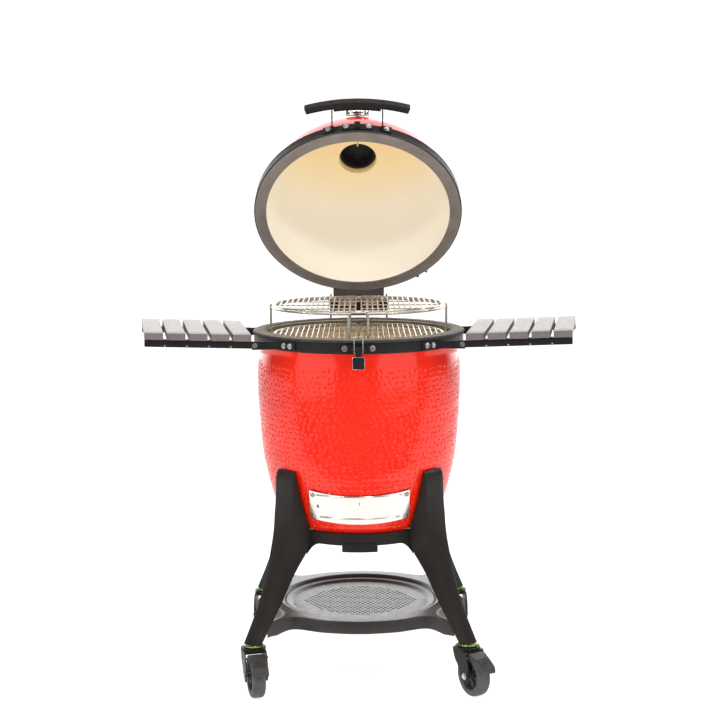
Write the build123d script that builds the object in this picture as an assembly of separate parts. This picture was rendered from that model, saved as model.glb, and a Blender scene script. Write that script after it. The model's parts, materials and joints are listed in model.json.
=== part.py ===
from build123d import *
import os
from math import asin, cos, degrees, pi, radians, sin, sqrt

# Kamado ceramic grill on a four-leg cart, lid open. Millimetres, +Z up, floor at z = 0.
# Every function works about the upright axis of the ceramic body, at x = y = 0 and facing -Y.
# save() then moves that axis to AXIS_Y, so that the origin is under the middle of the whole grill.

AXIS_Y = -13.0          # the ceramic axis, from the middle of the grill's footprint
OPEN_ANGLE = 51.4       # how far the dome stands open
RIM_Z = 889.0           # where the dome and the base meet
PIVOT_Y = 343.0         # lid hinge pin, behind the axis
PIVOT_Z = RIM_Z + 41.0

# Ceramic
FLANGE_R = 266.0        # outside of both rims
RIM_INNER_R = 241.0
BAND_IN_R = 266.2
BAND_OUT_R = 270.7
BAND_H = 25.4
GASKET_LIP_R = 273.0
BASE_BAND_Z = 853.6     # lower edge of the base's clamp band
DOME_BAND_Z = RIM_Z + 11.0
BASE_TOP_Z = RIM_Z - 5.0
BASE_FOOT_Z = 345.0
DOME_CROWN_IN = 240.0   # height of the hollow over the dome's lower edge
CHIMNEY_R = 50.0

# Inside
CHAMBER_FLOOR_Z = 371.0
FIREBOX_TOP_Z = 672.0
FIRE_RING_TOP_Z = 838.0
GRATE_R = 220.0
LOWER_GRATE_Z = 874.0
UPPER_GRATE_Z = 948.0
GRATE_T = 4.0
GRATE_PITCH = 13.8
ROD_R = 3.0
RACK_R = 222.0
POST_R = 228.0
POST_HALF_GAP = 23.5

# Draft opening in the front of the base
DRAFT_HALF_DEG = 15.0
DRAFT_LOW_Z = 440.0
DRAFT_HIGH_Z = 484.0
CONE_LOW_R = 214.0      # the draft plate's cone, at its lower and upper edge
CONE_HIGH_R = 238.5
PLATE_LOW_Z = 419.0
PLATE_HIGH_Z = 495.0
PLATE_HALF_W = 125.0
PLATE_RISE = 10.0       # how far the plate's ends curl up
PLATE_T = 1.5

# Cart
LEG_DEG = (-136.5, -43.5, 43.5, 136.5)
LEG_NAMES = ("front_left", "front_right", "rear_right", "rear_left")
LEG_BOTTOM_Z = 128.0
LEG_WALL = 3.0
RING_IN_R = 195.0
RING_WALL_R = 199.0
RING_OUT_R = 203.0
RING_LOW_Z = 361.0
RING_TOP_Z = 391.0
TRAY_EDGE_Z = 176.0
TRAY_FLOOR_Z = 162.0
TRAY_T = 2.5
APRON_LOW_Z = 145.0

# Casters
CASTER_R = 367.0        # from the ceramic axis out to a caster's swivel pin
TRAIL = 28.0
WHEEL_R = 52.5
WHEEL_HALF_W = 16.5
FORK_HALF_W = 28.0
FORK_T = 3.0
AXLE_R = 4.0
KINGPIN_R = 5.0
CASTER_DEG = (-75.0, -60.0, -82.0, -97.0)
PEDAL_S = 38.0          # pedal pivot, along the trail and up
PEDAL_Z = 102.0

# Side shelves, in the shelf's own frame: u runs outward, v along the slats
SHELF_TURN = 9.3        # the shelves point this much forward of straight sideways
SHELF_IN_U = 293.0
SHELF_OUT_U = 551.6
SHELF_HALF_V = 175.0
SHELF_TOP_Z = 895.5
SHELF_TILT = 2.5
SLATS = 5
SLAT_W = 45.0
SLAT_T = 17.0
ARM_H = 18.0
FOLD_U = 285.0
FOLD_Z = 868.0
TAB_V = 160.0           # inner face of the bracket tabs

# Handle, latch and hinge
HANDLE_IN_R = 303.7
HANDLE_OUT_R = 328.5
HANDLE_LOW_Z = RIM_Z + 48.0
HANDLE_H = 22.0
HANDLE_HALF_W = 129.0
HANDLE_GRIP_HALF_W = 60.0
HANDLE_STEP = 7.0       # how much thinner the bar is outside its grip
HANDLE_ARC_R = 430.0
POST_HALF_X = 63.5
LATCH_Y = -285.0
LATCH_Z = 866.0
BAIL_DROP = 8.0
PIN_R = 6.0
CHEEK_X = 76.0          # inner faces of the fixed hinge cheeks
ARM_CHEEK_X = 66.0      # inner faces of the moving hinge cheeks
BOSS_R = 16.0
RUNNING = 0.05          # radial clearance of every running fit

# Thermometer, on its own axis square to the dome
GAUGE_SEAT_R = 218.0    # where its axis meets the dome, and how high
GAUGE_SEAT_Z = RIM_Z + 142.0
GAUGE_TILT = 34.0
GAUGE_R = 33.5
GAUGE_DEPTH = 14.0
PROBE_R = 2.0
PROBE_L = 80.0

# Top vent, from the rim up
VENT_SEAT_Z = RIM_Z + 293.0
VENT_R = 72.0
CAP_R = 68.0
CAP_PIVOT_X = 84.0
STUD_R = 4.0

BOLT_R = 5.8
BOLT_H = 5.0
SHANK_R = 3.0


def save(name, *shapes):
    """Write one node, moved from the ceramic axis to the grill's own frame."""
    solids = [solid for shape in shapes for solid in shape.solids()]
    node = solids[0] if len(solids) == 1 else Compound(solids)
    export_step(Pos(0, AXIS_Y, 0) * node, f"parts/{name}.step")


def opened(shape):
    """A piece of the closed dome, swung up about the hinge pin."""
    return shape.rotate(Axis((0, PIVOT_Y, PIVOT_Z), (1, 0, 0)), -OPEN_ANGLE)


def turned(points, start=0.0, arc=360.0):
    """Revolve an (r, z) polygon about the axis, from the angle start."""
    face = Plane.XZ * make_face(Polyline(*points, close=True))
    return revolve(face, Axis.Z, arc).rotate(Axis.Z, start)


def plate_x(points, x_low, x_high):
    """A plate with a (y, z) outline, between two values of x."""
    face = Plane.YZ * make_face(Polyline(*points, close=True))
    return extrude(Pos(x_low, 0, 0) * face, x_high - x_low, dir=(1, 0, 0))


def rod(start, end, radius):
    """A round rod between two points."""
    start, end = Vector(*start), Vector(*end)
    plane = Plane(origin=start, z_dir=end - start)
    return extrude(plane * Circle(radius), (end - start).length)


def hoop(radius, z, rod_radius=ROD_R):
    """A rod bent to a circle, twelve-sided in section."""
    turns = [2 * pi * i / 12 for i in range(12)]
    return turned([(radius + rod_radius * cos(a), z + rod_radius * sin(a)) for a in turns])


def block(low, high):
    """A box between two corners."""
    size = [b - a for a, b in zip(low, high)]
    middle = [(a + b) / 2 for a, b in zip(low, high)]
    return Pos(*middle) * Box(*size)


def radial_plane(deg, z, seat_r):
    """A plane on the band at an angle about the axis, facing outward."""
    out = (cos(radians(deg)), sin(radians(deg)), 0)
    return Plane(origin=(seat_r * out[0], seat_r * out[1], z), z_dir=out)


def bolt(plane, shank=0.0):
    """A hexagon head on a plane, with its shank behind it."""
    head = extrude(RegularPolygon(BOLT_R, 6), BOLT_H)
    if shank:
        head += Pos(0, 0, -shank / 2) * Cylinder(SHANK_R, shank)
    return plane * head


def bolt_hole(plane, depth=12.0):
    """The clearance hole of a bolt on a plane."""
    return plane * Cylinder(SHANK_R + 0.2, 2 * depth)


# Bolts through the bands: (angle about the axis, height, radius of the face under the head)
BRACKET_OUT_R = BAND_OUT_R + 3.8
BAND_MID_Z = BASE_BAND_Z + BAND_H / 2
DOME_BAND_MID_Z = DOME_BAND_Z + BAND_H / 2
SHELF_BOLT_DEG = [side + turn for side in (-SHELF_TURN, 180 + SHELF_TURN)
                  for turn in (-42.9, -38.6, 38.6, 42.9)]
BASE_BOLTS = [(-90 + d, BAND_MID_Z, BRACKET_OUT_R) for d in (-7.0, 7.0)]
BASE_BOLTS += [(90 + d, BAND_MID_Z, BRACKET_OUT_R) for d in (-11.0, 11.0)]
BASE_BOLTS += [(d, BAND_MID_Z, BRACKET_OUT_R) for d in SHELF_BOLT_DEG]
DOME_BOLTS = [(-90 + d, DOME_BAND_MID_Z, BRACKET_OUT_R) for d in (-6.0, 6.0, -15.5, 15.5)]
DOME_BOLTS += [(90 + d, DOME_BAND_MID_Z, BRACKET_OUT_R) for d in (-11.0, 11.0)]


def drilled(shape, bolts):
    """The shape with the clearance hole of every bolt."""
    for deg, z, seat_r in bolts:
        shape -= bolt_hole(radial_plane(deg, z, seat_r))
    return shape


def bolts_of(bolts):
    """The bolts themselves, with shanks that stop at the ceramic."""
    return [bolt(radial_plane(*place), place[2] - BAND_IN_R) for place in bolts]


# ---------------------------------------------------------------- ceramic body

def draft_wedge(low_z, high_z, half_deg):
    """The wedge that a draft opening takes out of a wall."""
    points = [(60, low_z), (290, low_z), (290, high_z), (60, high_z)]
    return turned(points, -90 - half_deg, 2 * half_deg)


def ceramic_base():
    """The bowl, with a flange for its band and an opening for the draft."""
    outside = [(257, 851), (255, 832), (259.5, 812), (262.7, 785), (262.5, 738), (261, 698)]
    outside += [(255.7, 619), (250.4, 566), (241.6, 521), (228.9, 470), (212, 423), (193, 391)]
    inside = [(118, CHAMBER_FLOOR_Z), (160, 394), (187, 430), (204, 477), (217, 527)]
    inside += [(225, 573), (230, 623), (234, 700), (236.5, 780), (239, 850), (240, BASE_TOP_Z)]
    edges = Spline(*outside).edges() + Spline(*inside).edges()
    foot = [outside[-1], (160, 361), (125, BASE_FOOT_Z), (0, BASE_FOOT_Z)]
    foot += [(0, CHAMBER_FLOOR_Z), inside[0]]
    edges += Polyline(*foot).edges()
    edges += Polyline(inside[-1], (FLANGE_R, BASE_TOP_Z), (FLANGE_R, 855), outside[0]).edges()
    shell = revolve(Plane.XZ * make_face(edges), Axis.Z)
    return shell - draft_wedge(DRAFT_LOW_Z, DRAFT_HIGH_Z, DRAFT_HALF_DEG)


def ceramic_dome():
    """The lid, with a flange for its band, the chimney hole and the gauge's hole."""
    low = RIM_Z + 5
    outer = [(257, 42), (251, 71), (241, 101), (220, 139), (190, 175.6), (155, 210), (110, 244)]
    outer = [(r, RIM_Z + z) for r, z in outer + [(75, 263), (CHIMNEY_R, 271)]]
    start = asin(sqrt(1 - (CHIMNEY_R / RIM_INNER_R) ** 2))
    turns = [start * i / 8 for i in range(9)]
    inner = [(RIM_INNER_R * cos(a), low + DOME_CROWN_IN * sin(a)) for a in turns]
    edges = [Spline(*outer), Spline(*inner)]
    edges += Polyline(outer[-1], inner[-1]).edges()
    edges += Polyline(inner[0], (FLANGE_R, low), (FLANGE_R, RIM_Z + 38), outer[0]).edges()
    shell = revolve(Plane.XZ * make_face(edges), Axis.Z)
    return shell - gauge_plane() * Cylinder(PROBE_R + 1.5, 90)


def gasket(side):
    """The felt ring on a rim; side is -1 on the base and 1 on the dome."""
    face = 0.0 if side < 0 else 0.6
    points = [(RIM_INNER_R, 5), (RIM_INNER_R, face + 1.5), (RIM_INNER_R + 2, face)]
    points += [(270, face), (GASKET_LIP_R, face + 2.5), (GASKET_LIP_R, 9.5)]
    points += [(BAND_IN_R, 9.5), (BAND_IN_R, 5)]
    return turned([(r, RIM_Z + side * z) for r, z in points])


def band(low_z, bolts):
    """A steel clamp band with its two clamping ears on the right-hand rear."""
    points = [(BAND_IN_R, low_z), (BAND_OUT_R, low_z)]
    points += [(BAND_OUT_R, low_z + BAND_H), (BAND_IN_R, low_z + BAND_H)]
    ring = turned(points, 2, 356).rotate(Axis.Z, 52)
    for deg in (2, -2):
        ear = block((BAND_IN_R + 2, -2, low_z + 2), (BAND_OUT_R + 18, 2, low_z + BAND_H - 2))
        ring += ear.rotate(Axis.Z, 52 + deg * 1.45)
    return drilled(ring, bolts)


def clamp_screws(low_z):
    """The two screws that pull a band's ears together."""
    screws = []
    for z in (low_z + 8, low_z + BAND_H - 8):
        across = block((BAND_OUT_R + 5.5, -5.2, z - 3), (BAND_OUT_R + 11.5, 5.2, z + 3))
        screws.append(across.rotate(Axis.Z, 52))
    return screws


# ---------------------------------------------------------------- inside the bowl

def firebox():
    """The ceramic cup that holds the charcoal, open at the draft."""
    points = [(60, 372), (118, 372), (150, 400), (172, 440), (190, 500), (205, 590)]
    points += [(213, FIREBOX_TOP_Z), (188, FIREBOX_TOP_Z), (180, 590), (165, 500)]
    points += [(150, 470), (132, 470), (120, 420), (60, 400)]
    return turned(points) - draft_wedge(DRAFT_LOW_Z - 6, DRAFT_HIGH_Z - 20, DRAFT_HALF_DEG)


def fire_ring():
    """The ceramic ring between the firebox and the rack."""
    low = FIREBOX_TOP_Z + 0.2
    points = [(188, low), (213, low), (224, FIRE_RING_TOP_Z), (199, FIRE_RING_TOP_Z)]
    return turned(points)


def charcoal_grate():
    """The cast grate on the firebox's inner ledge."""
    disc = Pos(0, 0, 474.1) * Cylinder(146, 8)
    slots = [Pos(0, y, 474.1) * Box(2 * sqrt(128 ** 2 - y ** 2), 9, 20) for y in range(-108, 109, 24)]
    for slot in slots:
        disc -= slot
    return disc


def rack_frame():
    """Three hoops on posts, with two cross rods for the deflectors."""
    low_z = FIRE_RING_TOP_Z + ROD_R + 0.4
    hoops = [hoop(RACK_R, UPPER_GRATE_Z - ROD_R - 0.4), hoop(RACK_R, LOWER_GRATE_Z - ROD_R - 0.4)]
    hoops.append(hoop(RACK_R - 10, low_z))
    frame = hoops[0] + hoops[1] + hoops[2]
    top_z = UPPER_GRATE_Z - ROD_R - 0.4
    for side in (-1, 1):
        frame += rod((side * (POST_R - 1.5), 0, low_z), (side * (POST_R - 1.5), 0, top_z + 6), ROD_R)
        frame += rod((side * 208, 0, low_z), (side * (POST_R + 1.5), 0, low_z), ROD_R)
        for x in (-POST_HALF_GAP, POST_HALF_GAP):
            y = side * sqrt((POST_R - 1.5) ** 2 - x ** 2)
            frame += rod((x, y, low_z), (x, y, top_z), ROD_R)
            frame += rod((x, y * 0.9, low_z), (x, y * 1.012, low_z), ROD_R)
        half = sqrt((RACK_R - 10) ** 2 - 100 ** 2) + 5
        frame += rod((-half, side * 100, low_z + 0.4), (half, side * 100, low_z + 0.4), ROD_R - 0.4)
    return frame


def heat_deflector(side):
    """A half-moon ceramic plate; side is -1 on the left and 1 on the right."""
    low = FIRE_RING_TOP_Z + 2 * ROD_R + 0.5
    plate = Pos(0, 0, low + 6) * Cylinder(200, 12)
    return plate & block((min(side * 3, side * 210), -210, low), (max(side * 3, side * 210), 210, low + 12))


def half_grate(side, z):
    """A half-round grate of rods that run front to back, inside a bent rim."""
    inner = 5.0
    rim = Circle(GRATE_R) - Circle(GRATE_R - 6)
    bars = rim & Pos(side * (GRATE_R + inner) / 2, 0) * Rectangle(GRATE_R - inner + 2, 2 * GRATE_R)
    count = int((GRATE_R - inner - 8) / GRATE_PITCH)
    places = [inner + 2.5] + [inner + 2.5 + GRATE_PITCH * i for i in range(1, count + 1)]
    for x in places:
        length = 2 * sqrt((GRATE_R - 3) ** 2 - x ** 2)
        bars += Pos(side * x, 0) * Rectangle(4, length)
    for y in (-100, 0, 100):
        reach = sqrt((GRATE_R - 3) ** 2 - y ** 2)
        bars += Pos(side * (inner + reach) / 2, y) * Rectangle(reach - inner, 4)
    return extrude(Pos(0, 0, z) * bars, GRATE_T)


# ---------------------------------------------------------------- draft door

def cone_r(z, stand_off):
    """Radius of the draft plate's cone at a height, with a stand-off from it."""
    slope = (CONE_HIGH_R - CONE_LOW_R) / (PLATE_HIGH_Z - PLATE_LOW_Z)
    return CONE_LOW_R + (z - PLATE_LOW_Z) * slope + stand_off


def cone_sheet(low_z, high_z, stand_off, thick, half_deg):
    """A sheet on the cone, centred on the front."""
    points = [(cone_r(low_z, stand_off), low_z), (cone_r(low_z, stand_off + thick), low_z)]
    points += [(cone_r(high_z, stand_off + thick), high_z), (cone_r(high_z, stand_off), high_z)]
    return turned(points, -90 - half_deg, 2 * half_deg)


def draft_screw_places():
    """The four corner screws of the draft plate: planes on its outside."""
    planes = []
    for side in (-1, 1):
        for z, half_w in ((PLATE_LOW_Z + 15, PLATE_HALF_W - 10), (PLATE_HIGH_Z - 1, PLATE_HALF_W - 8)):
            radius = cone_r(z, PLATE_T)
            turn = -pi / 2 + side * asin(half_w / radius)
            place = (radius * cos(turn), radius * sin(turn), z)
            planes.append(Plane(origin=place, z_dir=(cos(turn), sin(turn), -0.32)))
    return planes


def draft_frame():
    """The curved plate with its window and two rails, standing just off the ceramic."""
    sheet = cone_sheet(PLATE_LOW_Z - 12, PLATE_HIGH_Z + 20, 0, PLATE_T, 42)
    low_mid, high_mid = (0, PLATE_LOW_Z), (0, PLATE_HIGH_Z)
    low_end, high_end = PLATE_LOW_Z + PLATE_RISE, PLATE_HIGH_Z + PLATE_RISE
    edges = [ThreePointArc((-PLATE_HALF_W + 2, low_end), low_mid, (PLATE_HALF_W - 2, low_end))]
    edges += [ThreePointArc((-PLATE_HALF_W, high_end), high_mid, (PLATE_HALF_W, high_end))]
    edges += [Line((side * (PLATE_HALF_W - 2), low_end), (side * PLATE_HALF_W, high_end)) for side in (-1, 1)]
    outline = Plane.XZ * make_face(edges)
    plate = sheet & extrude(outline, 300, dir=(0, -1, 0))
    plate -= cone_sheet(DRAFT_LOW_Z, DRAFT_HIGH_Z, -5, 15, DRAFT_HALF_DEG - 0.5)
    plate += cone_sheet(431.0, 434.0, 0.5, 5.5, 27)
    plate += cone_sheet(490.0, 493.0, 0.5, 5.5, 27)
    for plane in draft_screw_places():
        plate -= plane * Cylinder(2.2, 16)
    return plate


def draft_screws():
    """Round-headed corner screws of the draft plate."""
    screws = []
    for plane in draft_screw_places():
        head = Pos(0, 0, 1.4) * Cylinder(5.0, 2.4) + Pos(0, 0, -0.6) * Cylinder(1.9, 2.0)
        screws.append(plane * head)
    return screws


def draft_door():
    """The sliding plate between the rails, with its pull tab."""
    door = cone_sheet(434.5, 489.5, PLATE_T + 0.5, 1.2, DRAFT_HALF_DEG + 1.5)
    tab = [(-cone_r(445, PLATE_T + 1), 445), (-cone_r(476, PLATE_T + 1), 476)]
    tab += [(-cone_r(474, PLATE_T + 9), 474), (-cone_r(447, PLATE_T + 9), 447)]
    return door + plate_x(tab, -1.0, 1.0)


# ---------------------------------------------------------------- hinge

def hinge_segment(low_z, high_z):
    """The curved foot of a hinge half, on the rear of a band."""
    points = [(BAND_OUT_R, low_z), (BRACKET_OUT_R, low_z)]
    points += [(BRACKET_OUT_R, high_z), (BAND_OUT_R, high_z)]
    return turned(points, 90 - 17.5, 35)


def hinge_base():
    """The fixed half: foot, two cheeks and a tie plate behind the pin."""
    part = hinge_segment(BASE_BAND_Z + 0.5, BASE_BAND_Z + BAND_H - 0.5)
    outline = [(262.0, 854.5), (262.0, 878), (272, 884), (300, 905), (PIVOT_Y - 10, PIVOT_Z + 11)]
    outline += [(PIVOT_Y, PIVOT_Z + BOSS_R), (PIVOT_Y + 12, PIVOT_Z + 10), (PIVOT_Y + 22, PIVOT_Z)]
    outline += [(PIVOT_Y + 22, 896), (315, 866)]
    for low, high in ((-CHEEK_X - 4, -CHEEK_X), (CHEEK_X, CHEEK_X + 4)):
        part += plate_x(outline, low, high)
    part += block((-CHEEK_X - 1, PIVOT_Y + 18, 897), (CHEEK_X + 1, PIVOT_Y + 22, PIVOT_Z - 2))
    part -= rod((-90, PIVOT_Y, PIVOT_Z), (90, PIVOT_Y, PIVOT_Z), PIN_R + RUNNING)
    return drilled(part, BASE_BOLTS[2:4])


def hinge_arm():
    """The moving half: foot, two cheeks and the panel between them."""
    part = hinge_segment(DOME_BAND_Z + 0.5, DOME_BAND_Z + BAND_H - 0.5)
    outline = [(264, DOME_BAND_Z + 1), (264, DOME_BAND_Z + BAND_H - 1)]
    outline += [(PIVOT_Y - 20, PIVOT_Z + 16), (PIVOT_Y, PIVOT_Z + BOSS_R), (PIVOT_Y + 11, PIVOT_Z + 11)]
    outline += [(PIVOT_Y + BOSS_R, PIVOT_Z), (PIVOT_Y + 11, PIVOT_Z - 11), (PIVOT_Y, PIVOT_Z - BOSS_R)]
    for low, high in ((-ARM_CHEEK_X - 4, -ARM_CHEEK_X), (ARM_CHEEK_X, ARM_CHEEK_X + 4)):
        part += plate_x(outline, low, high)
    panel = [(272, 899), (272, 902.2), (PIVOT_Y - 16, PIVOT_Z - 12), (PIVOT_Y - 14, PIVOT_Z - 16)]
    part += plate_x(panel, -ARM_CHEEK_X - 1, ARM_CHEEK_X + 1)
    part -= rod((-90, PIVOT_Y, PIVOT_Z), (90, PIVOT_Y, PIVOT_Z), PIN_R + RUNNING)
    return drilled(part, DOME_BOLTS[4:6])


def hinge_pin():
    """The lid's pin, with a head at each end."""
    pin = rod((-84, PIVOT_Y, PIVOT_Z), (84, PIVOT_Y, PIVOT_Z), PIN_R)
    for side in (-1, 1):
        pin += rod((side * 80.2, PIVOT_Y, PIVOT_Z), (side * 86, PIVOT_Y, PIVOT_Z), 10)
    return pin


def hinge_spring(side):
    """A torsion spring's coil round the pin, as one sleeve."""
    ends = ((side * 12, PIVOT_Y, PIVOT_Z), (side * 58, PIVOT_Y, PIVOT_Z))
    return rod(*ends, 12.0) - rod(*ends, 8.0)


# ---------------------------------------------------------------- handle, latch and gauge

def handle_bar():
    """The arched bar, a segment of a large ring, with a deeper grip between its posts."""
    half_deg = degrees(asin(HANDLE_HALF_W / HANDLE_ARC_R))
    grip_deg = degrees(asin(HANDLE_GRIP_HALF_W / HANDLE_ARC_R))
    low, high = HANDLE_LOW_Z, HANDLE_LOW_Z + HANDLE_H
    half = (HANDLE_OUT_R - HANDLE_IN_R) / 2
    inner, outer = HANDLE_ARC_R - half, HANDLE_ARC_R + half
    points = [(inner + 1, low), (outer - 1, low), (outer, low + 1), (outer, high - 4)]
    points += [(outer - 4, high), (inner + 12, high), (inner + 9, high - 4), (inner, low + 3)]
    bar = turned(points, -90 - half_deg, 2 * half_deg)
    thin = [(inner - 1, low - 1), (inner + HANDLE_STEP, low - 1), (inner + HANDLE_STEP, high + 1)]
    thin += [(inner - 1, high + 1)]
    for start in (-91 - half_deg, -90 + grip_deg):
        bar -= turned(thin, start, half_deg - grip_deg + 1)
    return Pos(0, HANDLE_ARC_R - (HANDLE_IN_R + HANDLE_OUT_R) / 2, 0) * bar


def handle_post(side):
    """A flat steel bracket from the dome's band up to the bar."""
    x = side * POST_HALF_X
    foot = [(BAND_OUT_R, DOME_BAND_Z + 1), (BRACKET_OUT_R, DOME_BAND_Z + 1)]
    foot += [(BRACKET_OUT_R, DOME_BAND_Z + BAND_H - 1), (BAND_OUT_R, DOME_BAND_Z + BAND_H - 1)]
    start = -90 + 12.6 if side > 0 else -90 - 18.4
    post = turned(foot, start, 5.8)
    low_y = -sqrt(BRACKET_OUT_R ** 2 - x ** 2) + 1
    outline = [(low_y, DOME_BAND_Z + 2), (low_y, DOME_BAND_Z + BAND_H - 2)]
    end_y = -HANDLE_IN_R - 1.9
    outline += [(end_y + 6, HANDLE_LOW_Z + 20), (end_y, HANDLE_LOW_Z + 20), (end_y, DOME_BAND_Z + 12)]
    post += plate_x(outline, x - 1.5, x + 1.5)
    return drilled(post, DOME_BOLTS[2:4])


def latch_bracket():
    """The curved plate on the base's band, with two ears and the lever's pin."""
    points = [(BAND_OUT_R, 857), (BRACKET_OUT_R, 857), (BRACKET_OUT_R, 876), (BAND_OUT_R, 876)]
    part = turned(points, -98.5, 17)
    ear = [(-272.5, 858), (-272.5, 874), (-288, 872), (-290.5, 866), (-288, 860)]
    for low, high in ((-16, -13), (13, 16)):
        part += plate_x(ear, low, high)
    part += rod((-19, LATCH_Y, LATCH_Z), (19, LATCH_Y, LATCH_Z), 2.5)
    return drilled(part, BASE_BOLTS[0:2])


def latch_lever():
    """The hub on the pin, its neck and the paddle that hangs from it."""
    lever = rod((-8, LATCH_Y, LATCH_Z), (8, LATCH_Y, LATCH_Z), 5)
    lever += block((-8, -293, 854), (8, -286, LATCH_Z))
    lever += block((-7, -291, 846), (7, -288, 856))
    lever += block((-15, -291, 817), (15, -288, 848))
    lever -= rod((-30, LATCH_Y, LATCH_Z), (30, LATCH_Y, LATCH_Z), 2.5 + RUNNING)
    bail_line = [(x, LATCH_Y - 4.5, LATCH_Z - BAIL_DROP) for x in (-30, 30)]
    return lever - rod(*bail_line, 1.5 + RUNNING)


def latch_bail():
    """The wire loop that hooks over the dome's keeper."""
    y, low, high = LATCH_Y - 4.5, LATCH_Z - BAIL_DROP, 896.0
    bail = rod((-10.5, y, low), (10.5, y, low), 1.5)
    for x in (-10.5, 10.5):
        bail += Pos(x, y, low) * Sphere(1.5)
        bail += rod((x, y, low), (x, y, high), 1.5)
        bail += Pos(x, y, high) * Sphere(1.5)
    return bail + rod((-10.5, y, high), (10.5, y, high), 1.5)


def latch_keeper():
    """The dome's catch: a curved plate with a hook."""
    low, high = DOME_BAND_Z + 1, DOME_BAND_Z + BAND_H - 3
    points = [(BAND_OUT_R, low), (BRACKET_OUT_R, low), (BRACKET_OUT_R, high), (BAND_OUT_R, high)]
    part = turned(points, -98, 16)
    hook = [(-272.5, low + 3), (-272.5, low + 13), (-287, low + 15), (-287, low + 9), (-281, low + 3)]
    part += plate_x(hook, -7, 7)
    return drilled(part, DOME_BOLTS[0:2])


def gauge_plane():
    """The thermometer's plane: tangent to the dome, facing outward."""
    tilt = radians(GAUGE_TILT)
    out = (0, -cos(tilt), sin(tilt))
    return Plane(origin=(0, -GAUGE_SEAT_R, GAUGE_SEAT_Z), x_dir=(1, 0, 0), z_dir=out)


def thermometer_case():
    """The gauge's cup and its probe, which passes through the dome."""
    cup = Pos(0, 0, 0.5 + GAUGE_DEPTH / 2) * Cylinder(GAUGE_R, GAUGE_DEPTH)
    cup -= Pos(0, 0, 3 + GAUGE_DEPTH) * Cylinder(GAUGE_R - 2.5, 2 * GAUGE_DEPTH)
    cup += Pos(0, 0, (1 - PROBE_L) / 2) * Cylinder(PROBE_R, PROBE_L + 1)
    return gauge_plane() * cup


def thermometer_dial():
    """The printed disc in the cup."""
    disc = Pos(0, 0, 5.0) * Cylinder(GAUGE_R - 2.7, 1.2)
    return gauge_plane() * (disc - Pos(0, 0, 5.0) * Cylinder(1.0 + RUNNING, 4))


def thermometer_pointer():
    """The needle and its short shaft."""
    needle = Pos(0, 0, 7.2) * Cylinder(3.0, 1.0) + Pos(8.5, 0, 7.2) * Box(23, 1.6, 1.0)
    needle += Pos(0, 0, 5.8) * Cylinder(1.0, 3.2)
    return gauge_plane() * needle


# ---------------------------------------------------------------- top vent

def vent_base():
    """The casting in the chimney hole: sleeve, flange, seat and pivot stud."""
    points = [(44, 258), (49.5, 258), (49.5, 272.5), (74, 265.5), (74, 271), (62, 277)]
    points += [(62, 286), (VENT_R, 288), (VENT_R, 293), (44, 293)]
    part = turned([(r, RIM_Z + z) for r, z in points])
    ear = block((60, -11, VENT_SEAT_Z - 5), (CAP_PIVOT_X, 11, VENT_SEAT_Z))
    part += ear + Pos(CAP_PIVOT_X, 0, VENT_SEAT_Z - 2.5) * Cylinder(11, 5)
    part += Pos(CAP_PIVOT_X, 0, VENT_SEAT_Z + 6) * Cylinder(STUD_R, 14)
    return part


def vent_ports(z, turn):
    """Six round ports, turned by an angle."""
    angles = [radians(turn + 60 * i) for i in range(6)]
    return [Pos(38 * cos(a), 38 * sin(a), z) * Cylinder(9.5, 20) for a in angles]


def vent_cap():
    """The swinging cap, with ports and the stud that the disc turns on."""
    z = VENT_SEAT_Z + 0.5
    cap = Pos(0, 0, z + 2.5) * Cylinder(CAP_R, 5)
    cap += block((58, -10, z), (CAP_PIVOT_X, 10, z + 5))
    cap += Pos(CAP_PIVOT_X, 0, z + 2.5) * Cylinder(10, 5)
    cap -= Pos(CAP_PIVOT_X, 0, z) * Cylinder(STUD_R + RUNNING, 30)
    for port in vent_ports(z, 0):
        cap -= port
    return cap + Pos(0, 0, z + 9) * Cylinder(STUD_R, 18)


def vent_disc():
    """The rotating damper on the cap, shut: its ports lie between the cap's."""
    z = VENT_SEAT_Z + 6.0
    disc = Pos(0, 0, z + 1.75) * Cylinder(56, 3.5)
    for port in vent_ports(z, 30):
        disc -= port
    disc += Pos(0, 0, z + 3.5) * Cylinder(12, 7)
    disc += block((-4, -55, z + 3), (4, -42, z + 14))
    return disc - Pos(0, 0, z) * Cylinder(STUD_R + RUNNING, 40)


# ---------------------------------------------------------------- cart

def leg(deg):
    """A pressed steel leg: one face outward, two flanges towards the ceramic."""
    face = [(384, 128), (354, 183), (328, 233), (307, 283), (290, 333), (272, 383), (263, 433)]
    face += [(260, 483), (260, 532), (257, 545), (252, 550)]
    back = [(250, 546), (248.5, 536), (239, 491), (223, 438), (209, 407), (203.5, 391)]
    back += [(203.5, 361), (213, 333), (225, 317), (251, 280), (299, 203), (354, 128)]
    widths = [(128, 37), (183, 36), (233, 40), (283, 43), (333, 53), (383, 65), (433, 73)]
    widths += [(483, 71), (552, 68)]

    def slab(outline, shrink):
        radial = Plane.XZ * make_face(Polyline(*outline, close=True))
        solid = extrude(radial, 60, both=True)
        right = [(w / 2 - shrink, z) for z, w in widths]
        sides = right + [(-v, z) for v, z in reversed(right)]
        across = Plane.YZ * make_face(Polyline(*sides, close=True))
        return solid & extrude(across, 500, dir=(1, 0, 0))

    hollow = [(r - LEG_WALL - 1, max(z, LEG_BOTTOM_Z + 5)) for r, z in face[:-1]]
    hollow += [(r - 40, max(z, LEG_BOTTOM_Z + 5)) for r, z in back]
    part = slab(face + back, 0) - slab(hollow, LEG_WALL)
    part -= Pos(CASTER_R, 0, LEG_BOTTOM_Z) * Cylinder(KINGPIN_R, 20)
    return part.rotate(Axis.Z, deg)


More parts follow.
